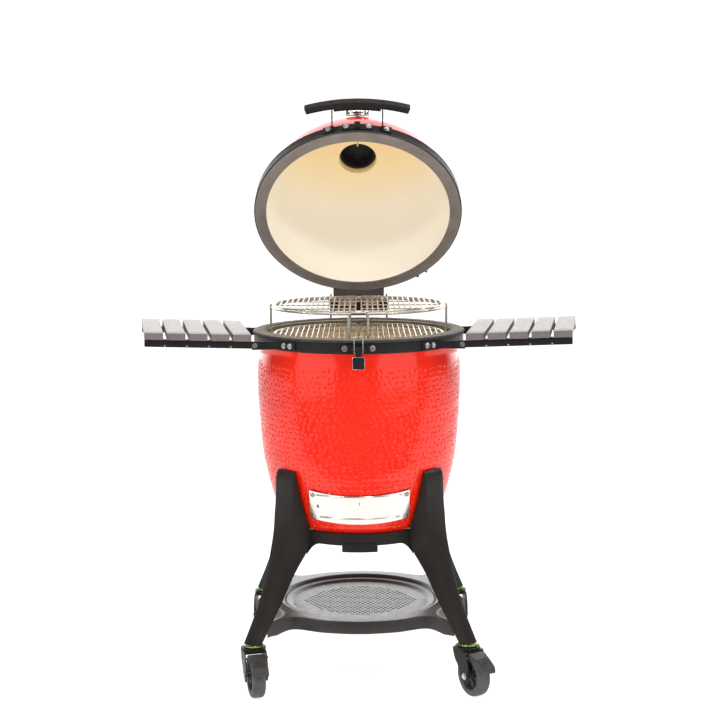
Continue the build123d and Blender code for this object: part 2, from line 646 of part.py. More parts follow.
def cart_ring():
    """The rolled ring that carries the ceramic, with a lip under it."""
    points = [(RING_WALL_R, RING_LOW_Z), (RING_OUT_R, RING_LOW_Z), (RING_OUT_R, RING_TOP_Z)]
    points += [(RING_IN_R, RING_TOP_Z), (RING_IN_R, RING_TOP_Z - 3), (RING_WALL_R, RING_TOP_Z - 3)]
    ring = turned(points)
    for deg in LEG_DEG:
        hole = rod((190, 0, 376), (215, 0, 376), SHANK_R + 0.2)
        ring -= hole.rotate(Axis.Z, deg)
    return ring


def ring_plaque():
    """The blank badge plate under the front of the ring."""
    points = [(RING_OUT_R, 345), (RING_OUT_R + 3, 345), (RING_OUT_R + 3, 368), (RING_OUT_R, 368)]
    return turned(points, -90 - 12.5, 25)


def tray_side(offset, z, turn):
    """One wavy side of the tray, set in by an offset."""
    points = [(-217, -221), (-163, -197), (-90, -226), (0, -239), (90, -226), (163, -197), (217, -221)]
    return Pos(0, 0, z) * Spline(*[(x, y + offset) for x, y in points]).rotate(Axis.Z, turn)


def bottom_tray():
    """The dished shelf between the legs, with four aprons and a tab into each leg."""
    low = TRAY_EDGE_Z - TRAY_T
    points = [(0, TRAY_FLOOR_Z - TRAY_T), (178, TRAY_FLOOR_Z - TRAY_T), (186, 165), (203, 165)]
    points += [(209, low), (212, low), (212, TRAY_EDGE_Z)]
    points += [(206, TRAY_EDGE_Z), (200, 168), (184, 168), (177, TRAY_FLOOR_Z), (0, TRAY_FLOOR_Z)]
    turns = (0, 90, 180, 270)
    edges = [tray_side(0, low, turn) for turn in turns]
    edges += [Line((217, -221, low), (221, -217, low)).rotate(Axis.Z, turn) for turn in turns]
    part = extrude(make_face(edges), TRAY_T) - Pos(0, 0, low) * Cylinder(207.5, 20)
    part += turned(points)
    for turn in turns:
        ends = [Line((x, -221, APRON_LOW_Z), (x, -221 + TRAY_T, APRON_LOW_Z)) for x in (-217, 217)]
        edges = [tray_side(offset, APRON_LOW_Z, 0) for offset in (0, TRAY_T)]
        apron = extrude(make_face([*edges, *ends]), TRAY_EDGE_Z - APRON_LOW_Z)
        part += apron.rotate(Axis.Z, turn)
    for deg in LEG_DEG:
        part += block((295, -13, low), (352, 13, TRAY_EDGE_Z)).rotate(Axis.Z, deg)
    return part


def cart_bolts():
    """Bolts from inside the ring into each leg's saddle."""
    bolts = []
    for deg in LEG_DEG:
        shank = rod((RING_WALL_R + 0.2, 0, 376), (RING_OUT_R - 0.2, 0, 376), SHANK_R)
        head = rod((RING_WALL_R - 3.5, 0, 376), (RING_WALL_R - 0.1, 0, 376), 6)
        bolts.append((shank + head + rod((RING_WALL_R - 1, 0, 376), (RING_WALL_R + 1, 0, 376), SHANK_R))
                     .rotate(Axis.Z, deg))
    return bolts


# ---------------------------------------------------------------- casters

def caster_place(index):
    """The plane on the floor under a caster: x along its trail."""
    turn = radians(LEG_DEG[index])
    place = (CASTER_R * cos(turn), CASTER_R * sin(turn), 0)
    trail = radians(CASTER_DEG[index])
    return Plane(origin=place, x_dir=(cos(trail), sin(trail), 0), z_dir=(0, 0, 1))


def caster_mount(index):
    """The upper race, the kingpin and its nut inside the leg."""
    part = Pos(0, 0, 124.3) * Cylinder(24, 7)
    part += Pos(0, 0, 120.5) * Cylinder(KINGPIN_R, 33)
    part += Pos(0, 0, 106) * Cylinder(9, 4)
    return caster_place(index) * (part + Pos(0, 0, 135.1) * Cylinder(6, 4))


def caster_fork(index, braked):
    """The swivelling fork, with the axle fixed in it."""
    part = Pos(0, 0, 117.3) * Cylinder(31, 6) + block((-26, -FORK_HALF_W, 110), (30, FORK_HALF_W, 115))
    side = [(-26, 114), (30, 114), (44, 80), (40, 46), (30, 41), (18, 44), (-14, 84)]
    cheek = extrude(Plane.XZ * make_face(Polyline(*side, close=True)), FORK_T)
    part += Pos(0, FORK_HALF_W, 0) * cheek + Pos(0, -FORK_HALF_W + FORK_T, 0) * cheek
    part -= Pos(0, 0, 115) * Cylinder(KINGPIN_R + RUNNING, 30)
    if braked:
        part -= rod((PEDAL_S, -40, PEDAL_Z), (PEDAL_S, 40, PEDAL_Z), 2.5 + RUNNING)
    part += rod((TRAIL, -33, WHEEL_R), (TRAIL, 33, WHEEL_R), AXLE_R)
    for low, high in ((-33, -FORK_HALF_W), (FORK_HALF_W, 33)):
        part += rod((TRAIL, low, WHEEL_R), (TRAIL, high, WHEEL_R), 7)
    return caster_place(index) * part


def caster_wheel(index):
    """The tyre on its hub, with a running fit on the axle."""
    half = WHEEL_HALF_W
    points = [(AXLE_R + RUNNING, -22), (12, -22), (12, -9), (36, -9), (36, -half), (48, -half)]
    points += [(WHEEL_R, -half + 5)]
    points += [(r, -z) for r, z in reversed(points)]
    wheel = turned(points).rotate(Axis.X, 90)
    return caster_place(index) * (Pos(TRAIL, 0, WHEEL_R) * wheel)


def brake_pedal(index):
    """The toe pedal over the wheel, on a pin through the fork."""
    plate = [(36, 112), (88, 88), (92, 72), (88, 71), (84.5, 83), (60, 96), (36, 107)]
    part = extrude(Plane.XZ * make_face(Polyline(*plate, close=True)), 20.5, both=True)
    lug = [(PEDAL_S - 6, 98), (PEDAL_S + 6, 98), (60, 98), (50, 105.5), (36, 111)]
    cheek = extrude(Plane.XZ * make_face(Polyline(*lug, close=True)), 3.5)
    part += Pos(0, 22.5, 0) * cheek + Pos(0, -19, 0) * cheek
    pin = rod((PEDAL_S, -30, PEDAL_Z), (PEDAL_S, -19, PEDAL_Z), 2.5)
    pin += rod((PEDAL_S, 19, PEDAL_Z), (PEDAL_S, 30, PEDAL_Z), 2.5)
    part += pin
    part -= Pos(TRAIL, 0, WHEEL_R) * Rot(90, 0, 0) * Cylinder(WHEEL_R + 1.0, 2 * WHEEL_HALF_W + 2)
    return caster_place(index) * part


# ---------------------------------------------------------------- side shelves

def shelf_plane(side):
    """The shelf's frame about the ceramic axis; side is -1 on the left and 1 on the right."""
    turn = radians(SHELF_TURN)
    out = (side * cos(turn), -sin(turn), 0)
    return Plane(origin=(0, 0, 0), x_dir=out, z_dir=(0, 0, 1))


def tilted(shape):
    """A piece of the shelf, its outer end raised by the tilt."""
    return shape.rotate(Axis((SHELF_IN_U, 0, SHELF_TOP_Z), (0, 1, 0)), -SHELF_TILT)


def shelf_slats(side):
    """The loose boards of a shelf."""
    pitch = (SHELF_OUT_U - SHELF_IN_U - SLAT_W) / (SLATS - 1)
    slats = []
    for i in range(SLATS):
        start = SHELF_IN_U + i * pitch
        low = (start, -SHELF_HALF_V, SHELF_TOP_Z - SLAT_T)
        slat = block(low, (start + SLAT_W, SHELF_HALF_V, SHELF_TOP_Z))
        slats.append(shelf_plane(side) * tilted(chamfer(slat.edges(), 1.0)))
    return slats


def shelf_arms(side):
    """Two angle-iron arms under the slats, with their pivot pins and screws."""
    top = SHELF_TOP_Z - SLAT_T
    arms = []
    for v_sign in (-1, 1):
        web_in, web_out = v_sign * (TAB_V + 4.6), v_sign * (TAB_V + 7.6)
        web = block((262, min(web_in, web_out), top - ARM_H), (SHELF_OUT_U, max(web_in, web_out), top))
        flange_in = v_sign * (TAB_V - 18)
        lip = block((SHELF_IN_U + 4, min(flange_in, web_out), top - 3),
                    (SHELF_OUT_U, max(flange_in, web_out), top))
        arm = tilted(web + lip)
        pin = rod((FOLD_U, v_sign * (TAB_V - 4), FOLD_Z), (FOLD_U, v_sign * (TAB_V + 11), FOLD_Z), 3.0)
        pin += rod((FOLD_U, v_sign * (TAB_V + 7), FOLD_Z), (FOLD_U, v_sign * (TAB_V + 11), FOLD_Z), 5.0)
        arms.append(shelf_plane(side) * (arm + pin))
    return arms


def shelf_bracket(side, v_sign):
    """A steel bracket: a foot on the band and a straight tab out to the arm."""
    foot_deg, foot_arc = 35.9, 10.1
    low, high = 857.0, 877.0
    points = [(BAND_OUT_R, low), (BRACKET_OUT_R, low), (BRACKET_OUT_R, high), (BAND_OUT_R, high)]
    start = foot_deg if v_sign > 0 else -foot_deg - foot_arc
    foot = turned(points, start, foot_arc)
    v_in, v_out = v_sign * TAB_V, v_sign * (TAB_V + 4)
    tab = block((215, min(v_in, v_out), low), (FOLD_U + 6.5, max(v_in, v_out), high))
    foot += tab - Pos(0, 0, 867) * Cylinder(BAND_OUT_R + 0.2, 40)
    foot -= rod((FOLD_U, v_sign * 140, FOLD_Z), (FOLD_U, v_sign * 180, FOLD_Z), 3.0 + RUNNING)
    return drilled(shelf_plane(side) * foot, BASE_BOLTS[4:])


# ---------------------------------------------------------------- the grill

def base_nodes():
    """Everything that stays with the cart."""
    for deg, name in zip(LEG_DEG, LEG_NAMES):
        save(f"leg_{name}", leg(deg))
    save("cart_ring", cart_ring())
    save("ring_plaque", ring_plaque())
    save("bottom_tray", bottom_tray())
    save("cart_bolts", *cart_bolts())
    save("caster_mounts", *[caster_mount(i) for i in range(4)])
    save("ceramic_base", ceramic_base())
    save("base_gasket", gasket(-1))
    save("base_band", band(BASE_BAND_Z, BASE_BOLTS))
    save("base_bolts", *bolts_of(BASE_BOLTS), *clamp_screws(BASE_BAND_Z))
    save("firebox", firebox())
    save("fire_ring", fire_ring())
    save("charcoal_grate", charcoal_grate())
    save("draft_frame", draft_frame())
    save("draft_screws", *draft_screws())
    save("hinge_base", hinge_base())
    save("hinge_pin", hinge_pin())
    save("hinge_springs", hinge_spring(-1), hinge_spring(1))
    save("latch_bracket", latch_bracket())
    save("shelf_brackets", *[shelf_bracket(side, end) for side in (-1, 1) for end in (-1, 1)])


def dome_nodes():
    """Everything that swings with the lid."""
    save("ceramic_dome", opened(ceramic_dome()))
    save("dome_gasket", opened(gasket(1)))
    save("dome_band", opened(band(DOME_BAND_Z, DOME_BOLTS)))
    dome_bolts = [*bolts_of(DOME_BOLTS), *clamp_screws(DOME_BAND_Z)]
    save("dome_bolts", *[opened(piece) for piece in dome_bolts])
    save("hinge_arm", opened(hinge_arm()))
    save("handle_bar", opened(handle_bar()))
    save("handle_posts", opened(handle_post(-1)), opened(handle_post(1)))
    save("latch_keeper", opened(latch_keeper()))
    save("thermometer_case", opened(thermometer_case()))
    save("thermometer_dial", opened(thermometer_dial()))
    save("thermometer_pointer", opened(thermometer_pointer()))
    save("vent_base", opened(vent_base()))
    save("vent_cap", opened(vent_cap()))
    save("vent_disc", opened(vent_disc()))


def moving_nodes():
    """The latch, the draft door, the shelves, the rack and its grates."""
    save("latch_lever", latch_lever())
    save("latch_bail", latch_bail())
    save("draft_door", draft_door())
    for side, name in ((-1, "left"), (1, "right")):
        save(f"shelf_slats_{name}", *shelf_slats(side))
        save(f"shelf_arms_{name}", *shelf_arms(side))
        save(f"lower_grate_{name}", half_grate(side, LOWER_GRATE_Z))
        save(f"upper_grate_{name}", half_grate(side, UPPER_GRATE_Z))
    save("rack_frame", rack_frame())
    save("heat_deflectors", heat_deflector(-1), heat_deflector(1))


def caster_nodes():
    """Four casters; the front two have a brake pedal."""
    for index, name in enumerate(LEG_NAMES):
        braked = name.startswith("front")
        save(f"caster_fork_{name}", caster_fork(index, braked))
        save(f"caster_wheel_{name}", caster_wheel(index))
        if braked:
            save(f"brake_pedal_{name}", brake_pedal(index))


os.makedirs("parts", exist_ok=True)
base_nodes()
dome_nodes()
moving_nodes()
caster_nodes()
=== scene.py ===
import json
import math
import random

import bmesh
import bpy
import numpy as np
from mathutils import Matrix, Vector
from mathutils.geometry import delaunay_2d_cdt


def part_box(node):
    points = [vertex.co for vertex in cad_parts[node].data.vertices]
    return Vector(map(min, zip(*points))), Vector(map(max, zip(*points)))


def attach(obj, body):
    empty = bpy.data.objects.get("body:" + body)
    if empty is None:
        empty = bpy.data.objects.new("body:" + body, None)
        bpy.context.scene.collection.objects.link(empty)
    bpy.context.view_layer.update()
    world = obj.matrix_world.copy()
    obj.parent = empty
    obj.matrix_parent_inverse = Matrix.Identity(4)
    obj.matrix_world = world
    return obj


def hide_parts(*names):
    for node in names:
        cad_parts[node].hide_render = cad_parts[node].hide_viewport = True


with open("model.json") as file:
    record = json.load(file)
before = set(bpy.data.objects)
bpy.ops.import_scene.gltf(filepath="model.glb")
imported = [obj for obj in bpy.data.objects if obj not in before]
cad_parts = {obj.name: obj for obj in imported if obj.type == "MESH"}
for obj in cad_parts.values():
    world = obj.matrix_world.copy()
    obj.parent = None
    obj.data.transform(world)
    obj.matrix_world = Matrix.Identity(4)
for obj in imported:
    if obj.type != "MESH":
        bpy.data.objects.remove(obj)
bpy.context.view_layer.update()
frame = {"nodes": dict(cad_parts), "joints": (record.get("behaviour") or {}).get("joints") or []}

# Kamado ceramic grill. Shapes are worked out in millimetres about the upright axis of the
# ceramic body, facing -Y, with the lid shut; row_points() takes them to the CAD row's metres.
base_low, base_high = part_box("ceramic_base")
AXIS_Y = (base_low[1] + base_high[1]) / 2
JOINTS = {joint["name"]: joint for joint in frame["joints"]}
PIVOT_Y = JOINTS["dome_hinge"]["pos_m"][1] * 1000 - AXIS_Y * 1000
PIVOT_Z = JOINTS["dome_hinge"]["pos_m"][2] * 1000
OPEN = math.radians(JOINTS["dome_hinge"]["range_deg"][1])
RIM = 889.0
FRONT = -90.0


def sweep(points):
    """Points of the shut lid, swung up with it."""
    out = np.array(points, float)
    dy, dz = out[:, 1] - PIVOT_Y, out[:, 2] - PIVOT_Z
    out[:, 1] = PIVOT_Y + dy * math.cos(OPEN) + dz * math.sin(OPEN)
    out[:, 2] = PIVOT_Z - dy * math.sin(OPEN) + dz * math.cos(OPEN)
    return out


def row_points(points):
    out = np.array(points, float) * 0.001
    out[:, 1] += AXIS_Y
    return out


def turn_z(points, degrees):
    a = math.radians(degrees)
    out = np.array(points, float)
    x, y = out[:, 0].copy(), out[:, 1].copy()
    out[:, 0] = x * math.cos(a) - y * math.sin(a)
    out[:, 1] = x * math.sin(a) + y * math.cos(a)
    return out


def smooth_curve(points, step):
    """Points evenly spaced along a Catmull-Rom curve through the given ones."""
    pts = np.array(points, float)
    ends = np.vstack([2 * pts[0] - pts[1], pts, 2 * pts[-1] - pts[-2]])
    fine = []
    for i in range(len(pts) - 1):
        p0, p1, p2, p3 = ends[i:i + 4]
        for t in np.linspace(0, 1, 24, endpoint=False):
            fine.append(0.5 * (2 * p1 + (p2 - p0) * t + (2 * p0 - 5 * p1 + 4 * p2 - p3) * t ** 2
                               + (3 * p1 - p0 - 3 * p2 + p3) * t ** 3))
    fine = np.array(fine + [pts[-1]])
    length = np.concatenate([[0], np.cumsum(np.linalg.norm(np.diff(fine, axis=0), axis=1))])
    count = max(2, int(round(length[-1] / step)) + 1)
    where = np.linspace(0, length[-1], count)
    return np.stack([np.interp(where, length, fine[:, k]) for k in range(fine.shape[1])], axis=1)


# ---------------------------------------------------------------- shapes: (points, faces)

def join(*shapes):
    points, faces, start = [], [], 0
    for pts, fcs in shapes:
        points.append(np.asarray(pts, float))
        faces += [tuple(i + start for i in face) for face in fcs]
        start += len(pts)
    return np.vstack(points), faces


def moved(shape, change):
    return change(shape[0]), shape[1]


def lathe(profile, steps=160, start=0.0, arc=360.0):
    """A closed (r, z) outline turned about the axis."""
    profile = np.array(profile, float)
    full = arc >= 359.9
    count = steps if full else steps + 1
    angles = np.radians(start + np.arange(count) * arc / steps)
    rows = len(profile)
    pts = np.empty((count * rows, 3))
    for j, a in enumerate(angles):
        block = pts[j * rows:(j + 1) * rows]
        block[:, 0], block[:, 1] = profile[:, 0] * math.cos(a), profile[:, 0] * math.sin(a)
        block[:, 2] = profile[:, 1]
    faces = []
    for j in range(steps):
        k = (j + 1) % count
        for i in range(rows):
            n = (i + 1) % rows
            faces.append((j * rows + i, k * rows + i, k * rows + n, j * rows + n))
    if not full:
        faces.append(tuple(range(rows)))
        faces.append(tuple((count - 1) * rows + i for i in reversed(range(rows))))
    return pts, faces


def rounded(outline, radius, segments=3):
    """A 2-D outline with its corners rounded."""
    pts = [Vector(p) for p in outline]
    out = []
    for i, p in enumerate(pts):
        a, b = pts[i - 1] - p, pts[(i + 1) % len(pts)] - p
        reach = min(radius, a.length * 0.45, b.length * 0.45)
        if reach < 1e-6 or abs(a.normalized().dot(b.normalized())) > 0.995:
            out.append(tuple(p))
            continue
        start, end = p + a.normalized() * reach, p + b.normalized() * reach
        for k in range(segments + 1):
            t = k / segments
            out.append(tuple((1 - t) ** 2 * start + 2 * t * (1 - t) * p + t ** 2 * end))
    return out


def tube(path, radius, sides=12, closed=False):
    """A round rod along a path."""
    path = np.array(path, float)
    count = len(path)
    nxt = np.roll(path, -1, axis=0) - path
    if not closed:
        nxt[-1] = path[-1] - path[-2]
    tangents = nxt / np.linalg.norm(nxt, axis=1)[:, None]
    mean = tangents + np.roll(tangents, 1, axis=0)
    if not closed:
        mean[0], mean[-1] = tangents[0], tangents[-1]
    mean /= np.linalg.norm(mean, axis=1)[:, None]
    up = np.array([0, 0, 1.0]) if abs(mean[0][2]) < 0.9 else np.array([1.0, 0, 0])
    normals = []
    for i in range(count):
        side = up - mean[i] * np.dot(up, mean[i])
        side /= np.linalg.norm(side)
        normals.append(side)
        up = side
    pts, faces = [], []
    turns = np.arange(sides) * 2 * math.pi / sides
    for i in range(count):
        across = np.cross(mean[i], normals[i])
        for a in turns:
            pts.append(path[i] + radius * (math.cos(a) * normals[i] + math.sin(a) * across))
    spans = count if closed else count - 1
    for i in range(spans):
        j = (i + 1) % count
        for k in range(sides):
            n = (k + 1) % sides
            faces.append((i * sides + k, i * sides + n, j * sides + n, j * sides + k))
    if not closed:
        faces.append(tuple(reversed(range(sides))))
        faces.append(tuple((count - 1) * sides + k for k in range(sides)))
    return np.array(pts), faces


def bent(points, radius, segments=5):
    """A path of straight runs with its corners bent round."""
    pts = [Vector(p) for p in points]
    out = [tuple(pts[0])]
    for i in range(1, len(pts) - 1):
        a, b = pts[i - 1] - pts[i], pts[i + 1] - pts[i]
        reach = min(radius, a.length * 0.45, b.length * 0.45)
        start, end = pts[i] + a.normalized() * reach, pts[i] + b.normalized() * reach
        for k in range(segments + 1):
            t = k / segments
            out.append(tuple((1 - t) ** 2 * start + 2 * t * (1 - t) * pts[i] + t ** 2 * end))
    return out + [tuple(pts[-1])]


def prism(outline, low, high, axes="yzx"):
    """An outline given along the first two axes, between two values of the third."""
    index = ["xyz".index(c) for c in axes]
    count = len(outline)
    pts = np.zeros((2 * count, 3))
    for k, depth in enumerate((low, high)):
        for i, (a, b) in enumerate(outline):
            pts[k * count + i, index[0]] = a
            pts[k * count + i, index[1]] = b
            pts[k * count + i, index[2]] = depth
    faces = [tuple(reversed(range(count))), tuple(range(count, 2 * count))]
    for i in range(count):
        n = (i + 1) % count
        faces.append((i, n, count + n, count + i))
    return pts, faces


def block(low, high):
    outline = [(low[0], low[1]), (high[0], low[1]), (high[0], high[1]), (low[0], high[1])]
    return prism(outline, low[2], high[2], "xyz")


def placed(shape, origin, z_axis, x_axis=None):
    """A shape made about the origin, put on a plane."""
    z = Vector(z_axis).normalized()
    x = Vector(x_axis) if x_axis else (Vector((0, 0, 1)) if abs(z.z) < 0.9 else Vector((1, 0, 0)))
    x = (x - z * x.dot(z)).normalized()
    y = z.cross(x)
    matrix = np.array([x, y, z])
    return np.asarray(shape[0]) @ matrix + np.array(origin), shape[1]


def hex_bolt(radius=5.8, height=4.4, washer=7.2):
    """A hexagon head with a domed top and a washer under it."""
    ring = [(radius * math.cos(a), radius * math.sin(a)) for a in np.radians(np.arange(0, 360, 60))]
    head = prism(ring, 1.2, height * 0.86, "xyz")
    top = lathe([(0, height * 0.8), (radius * 0.88, height * 0.8), (radius * 0.80, height), (0, height)],
                24)
    foot = lathe([(0, 0), (washer, 0), (washer, 0.9), (washer - 0.4, 1.3), (0, 1.3)], 28)
    return join(head, top, foot)


# ---------------------------------------------------------------- making objects

def piece(name, shape, body, materials, replaces=(), lid=False, bevel=0.0, smooth=40,
          indices=None, attribute=None, segments=3):
    """A Blender object from a shape, riding on a CAD body."""
    points = sweep(shape[0]) if lid else shape[0]
    mesh = bpy.data.meshes.new(name)
    mesh.from_pydata(row_points(points).tolist(), [], shape[1])
    if attribute is not None:
        layer = mesh.attributes.new(attribute[0], "FLOAT", "POINT")
        layer.data.foreach_set("value", np.asarray(attribute[1], np.float32))
    materials = materials if isinstance(materials, (list, tuple)) else [materials]
    for material in materials:
        mesh.materials.append(material)
    if indices is not None:
        mesh.polygons.foreach_set("material_index", np.asarray(indices, np.int32))
    work = bmesh.new()
    work.from_mesh(mesh)
    bmesh.ops.remove_doubles(work, verts=work.verts, dist=2e-6)
    bmesh.ops.recalc_face_normals(work, faces=work.faces)
    work.to_mesh(mesh)
    work.free()
    mesh.polygons.foreach_set("use_smooth", np.ones(len(mesh.polygons), bool))
    mesh.set_sharp_from_angle(angle=math.radians(smooth))
    obj = bpy.data.objects.new(name, mesh)
    bpy.context.scene.collection.objects.link(obj)
    finish_edges(obj, bevel, segments)
    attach(obj, body)
    if replaces:
        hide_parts(*([replaces] if isinstance(replaces, str) else replaces))
    return obj


def finish_edges(obj, bevel, segments=3):
    if not bevel:
        return
    cut = obj.modifiers.new("edges", "BEVEL")
    cut.width = bevel * 0.001
    cut.segments = segments
    cut.limit_method = "ANGLE"
    cut.angle_limit = math.radians(32)
    cut.harden_normals = True
    cut.use_clamp_overlap = True


def soften(node, body, material, bevel=0.8, name=None):
    """A copy of a CAD node with its edges rounded."""
    mesh = frame["nodes"][node].data.copy()
    mesh.name = name or f"{node}_soft"
    mesh.materials.clear()
    mesh.materials.append(material)
    work = bmesh.new()
    work.from_mesh(mesh)
    bmesh.ops.remove_doubles(work, verts=work.verts, dist=2e-6)
    bmesh.ops.dissolve_limit(work, angle_limit=math.radians(0.6), verts=work.verts, edges=work.edges)
    bmesh.ops.recalc_face_normals(work, faces=work.faces)
    work.to_mesh(mesh)
    work.free()
    if "custom_normal" in mesh.attributes:
        mesh.attributes.remove(mesh.attributes["custom_normal"])
    mesh.polygons.foreach_set("use_smooth", np.ones(len(mesh.polygons), bool))
    mesh.set_sharp_from_angle(angle=math.radians(32))
    obj = bpy.data.objects.new(name or f"{node}_soft", mesh)
    bpy.context.scene.collection.objects.link(obj)
    finish_edges(obj, bevel, 2)
    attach(obj, body)
    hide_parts(node)
    return obj


# ---------------------------------------------------------------- materials

class Surface:
    """A Principled material built up from procedural nodes in object space."""

    def __init__(self, name, rough=0.5, metallic=0.0, **sockets):
        self.material = bpy.data.materials.new(name)
        self.material.use_nodes = True
        self.tree = self.material.node_tree
        self.shader = self.tree.nodes["Principled BSDF"]
        self.shader.inputs["Roughness"].default_value = rough
        self.shader.inputs["Metallic"].default_value = metallic
        for key, value in sockets.items():
            self.shader.inputs[key.replace("_", " ")].default_value = value
        self.place = self.add("ShaderNodeTexCoord").outputs["Object"]

    def add(self, kind, settings=None, **inputs):
        node = self.tree.nodes.new(kind)
        for key, value in (settings or {}).items():
            setattr(node, key, value)
        for key, value in inputs.items():
            socket = node.inputs[key.replace("_", " ")]
            if isinstance(value, bpy.types.NodeSocket):
                self.tree.links.new(value, socket)
            else:
                socket.default_value = value
        return node

    def stretched(self, scale):
        return self.add("ShaderNodeMapping", Vector=self.place, Scale=scale).outputs["Vector"]

    def noise(self, scale, detail=4.0, rough=0.55, where=None, distortion=0.0):
        node = self.add("ShaderNodeTexNoise", Vector=where or self.place, Scale=scale, Detail=detail,
                        Roughness=rough, Distortion=distortion)
        return node.outputs["Fac"]

    def cells(self, scale, where=None, feature="F1", output="Distance", randomness=1.0):
        node = self.add("ShaderNodeTexVoronoi", {"feature": feature}, Vector=where or self.place,
                        Scale=scale, Randomness=randomness)
        return node.outputs[output]

    def ramp(self, factor, *stops):
        node = self.add("ShaderNodeValToRGB", Fac=factor)
        elements = node.color_ramp.elements
        for i, (at, colour) in enumerate(stops):
            element = elements[i] if i < 2 else elements.new(at)
            element.position = at
            element.color = (*colour, 1.0)
        return node.outputs["Color"]

    def span(self, value, low, high, to_low=0.0, to_high=1.0):
        node = self.add("ShaderNodeMapRange", Value=value, From_Min=low, From_Max=high,
                        To_Min=to_low, To_Max=to_high)
        return node.outputs["Result"]

    def math(self, operation, a, b=0.0, c=0.0):
        node = self.add("ShaderNodeMath", {"operation": operation})
        for socket, value in zip(node.inputs, (a, b, c)):
            if isinstance(value, bpy.types.NodeSocket):
                self.tree.links.new(value, socket)
            else:
                socket.default_value = value
        return node.outputs[0]

    def blend(self, factor, a, b, mode="MIX"):
        node = self.add("ShaderNodeMix", {"data_type": "RGBA", "blend_type": mode})
        for index, value in ((0, factor), (6, a), (7, b)):
            if isinstance(value, bpy.types.NodeSocket):
                self.tree.links.new(value, node.inputs[index])
            elif index:
                node.inputs[index].default_value = (*value, 1.0)
            else:
                node.inputs[index].default_value = value
        return node.outputs[2]

    def colour(self, value):
        self.tree.links.new(value, self.shader.inputs["Base Color"])
        return self

    def roughness(self, value):
        self.tree.links.new(value, self.shader.inputs["Roughness"])
        return self

    def bump(self, height, distance, strength=1.0):
        """Adds a bump over the earlier ones; distance in millimetres."""
        settings = {"Height": height, "Strength": strength, "Distance": distance * 0.001}
        earlier = self.shader.inputs["Normal"].links
        if earlier:
            settings["Normal"] = earlier[0].from_socket
        node = self.add("ShaderNodeBump", **settings)
        self.tree.links.new(node.outputs["Normal"], self.shader.inputs["Normal"])
        return self

    def attribute(self, name):
        return self.add("ShaderNodeAttribute", {"attribute_name": name}).outputs["Fac"]


def glaze():
    s = Surface("red_glaze", rough=0.1, Specular_IOR_Level=0.5)
    pool = s.attribute("pool")
    broad = s.noise(9.0, 5.0)
    base = s.ramp(broad, (0.3, (0.70, 0.015, 0.004)), (0.7, (0.80, 0.021, 0.005)))
    deep = s.blend(s.span(pool, 0.0, 1.0, 0.0, 0.3), base, (0.60, 0.008, 0.002))
    speck = s.cells(900.0)
    pins = s.span(speck, 0.05, 0.12, 0.3, 0.0)
    s.colour(s.blend(pins, deep, (0.40, 0.01, 0.004)))
    s.roughness(s.span(s.noise(60.0), 0.3, 0.7, 0.06, 0.14))
    return s.bump(s.noise(110.0, 3.0), 0.35, 0.5).bump(s.noise(700.0, 2.0), 0.04, 0.4).material


def cream():
    s = Surface("cream_ceramic", rough=0.55, Specular_IOR_Level=0.3)
    # The 'depth' attribute drives a painted glow: the cream turns tan towards the top and front of the
    # lid's inside, standing for light bounced in from the floor.
    depth = s.attribute("depth")
    painted_glow = s.ramp(depth, (0.0, (1.0, 0.965, 0.88)), (0.38, (1.0, 0.93, 0.78)), (0.68, (0.98, 0.80, 0.48)),
                  (1.0, (0.92, 0.62, 0.26)))
    mottled = s.blend(s.span(s.noise(14.0, 6.0), 0.4, 0.75, 0.0, 0.18), painted_glow, (0.94, 0.84, 0.64))
    specks = s.span(s.cells(420.0), 0.03, 0.10, 0.3, 0.0)
    s.colour(s.blend(specks, mottled, (0.55, 0.38, 0.20)))
    s.roughness(s.span(s.noise(80.0), 0.3, 0.7, 0.42, 0.66))
    return s.bump(s.noise(55.0, 5.0), 0.4, 0.3).bump(s.noise(900.0, 3.0), 0.06, 0.4).material


def clay(name, light, dark):
    s = Surface(name, rough=0.85, Specular_IOR_Level=0.2)
    mixed = s.ramp(s.noise(26.0, 7.0), (0.32, dark), (0.68, light))
    specks = s.span(s.cells(520.0), 0.05, 0.16, 0.6, 0.0)
    s.colour(s.blend(specks, mixed, tuple(c * 0.45 for c in dark)))
    s.roughness(s.span(s.noise(120.0), 0.3, 0.7, 0.75, 0.95))
    return s.bump(s.noise(300.0, 6.0), 0.35, 0.6).bump(s.cells(650.0), 0.12, 0.5).material


def powder(name, colour, lift, rough=(0.34, 0.46), grain=900.0, gloss=0.18):
    """Powder coat: orange peel, a little dust and slight wear."""
    s = Surface(name, rough=sum(rough) / 2, Specular_IOR_Level=gloss)
    worn = tuple(min(1, c * lift) for c in colour)
    base = s.ramp(s.noise(18.0, 6.0), (0.3, colour),
                  (0.75, tuple((a + b) / 2 for a, b in zip(colour, worn))))
    dust = s.span(s.noise(240.0, 5.0, 0.7), 0.62, 0.78, 0.0, 0.5)
    s.colour(s.blend(dust, base, worn))
    s.roughness(s.span(s.noise(70.0, 4.0), 0.3, 0.7, *rough))
    return s.bump(s.noise(grain, 2.0), 0.10, 0.45).material


def metal(name, colour, rough=(0.16, 0.30), stretch=(30.0, 30.0, 1400.0), scratch=0.25):
    """Bright metal with fine drawn lines along one way."""
    s = Surface(name, rough=sum(rough) / 2, metallic=1.0)
    lines = s.noise(1.0, 3.0, 0.6, s.stretched(stretch))
    tint = s.ramp(s.noise(12.0, 4.0), (0.3, tuple(c * 0.93 for c in colour)), (0.7, colour))
    s.colour(s.blend(s.span(lines, 0.35, 0.7, 0.0, 0.18), tint, tuple(c * 0.75 for c in colour)))
    s.roughness(s.span(lines, 0.3, 0.7, *rough))
    return s.bump(lines, 0.03, scratch).material


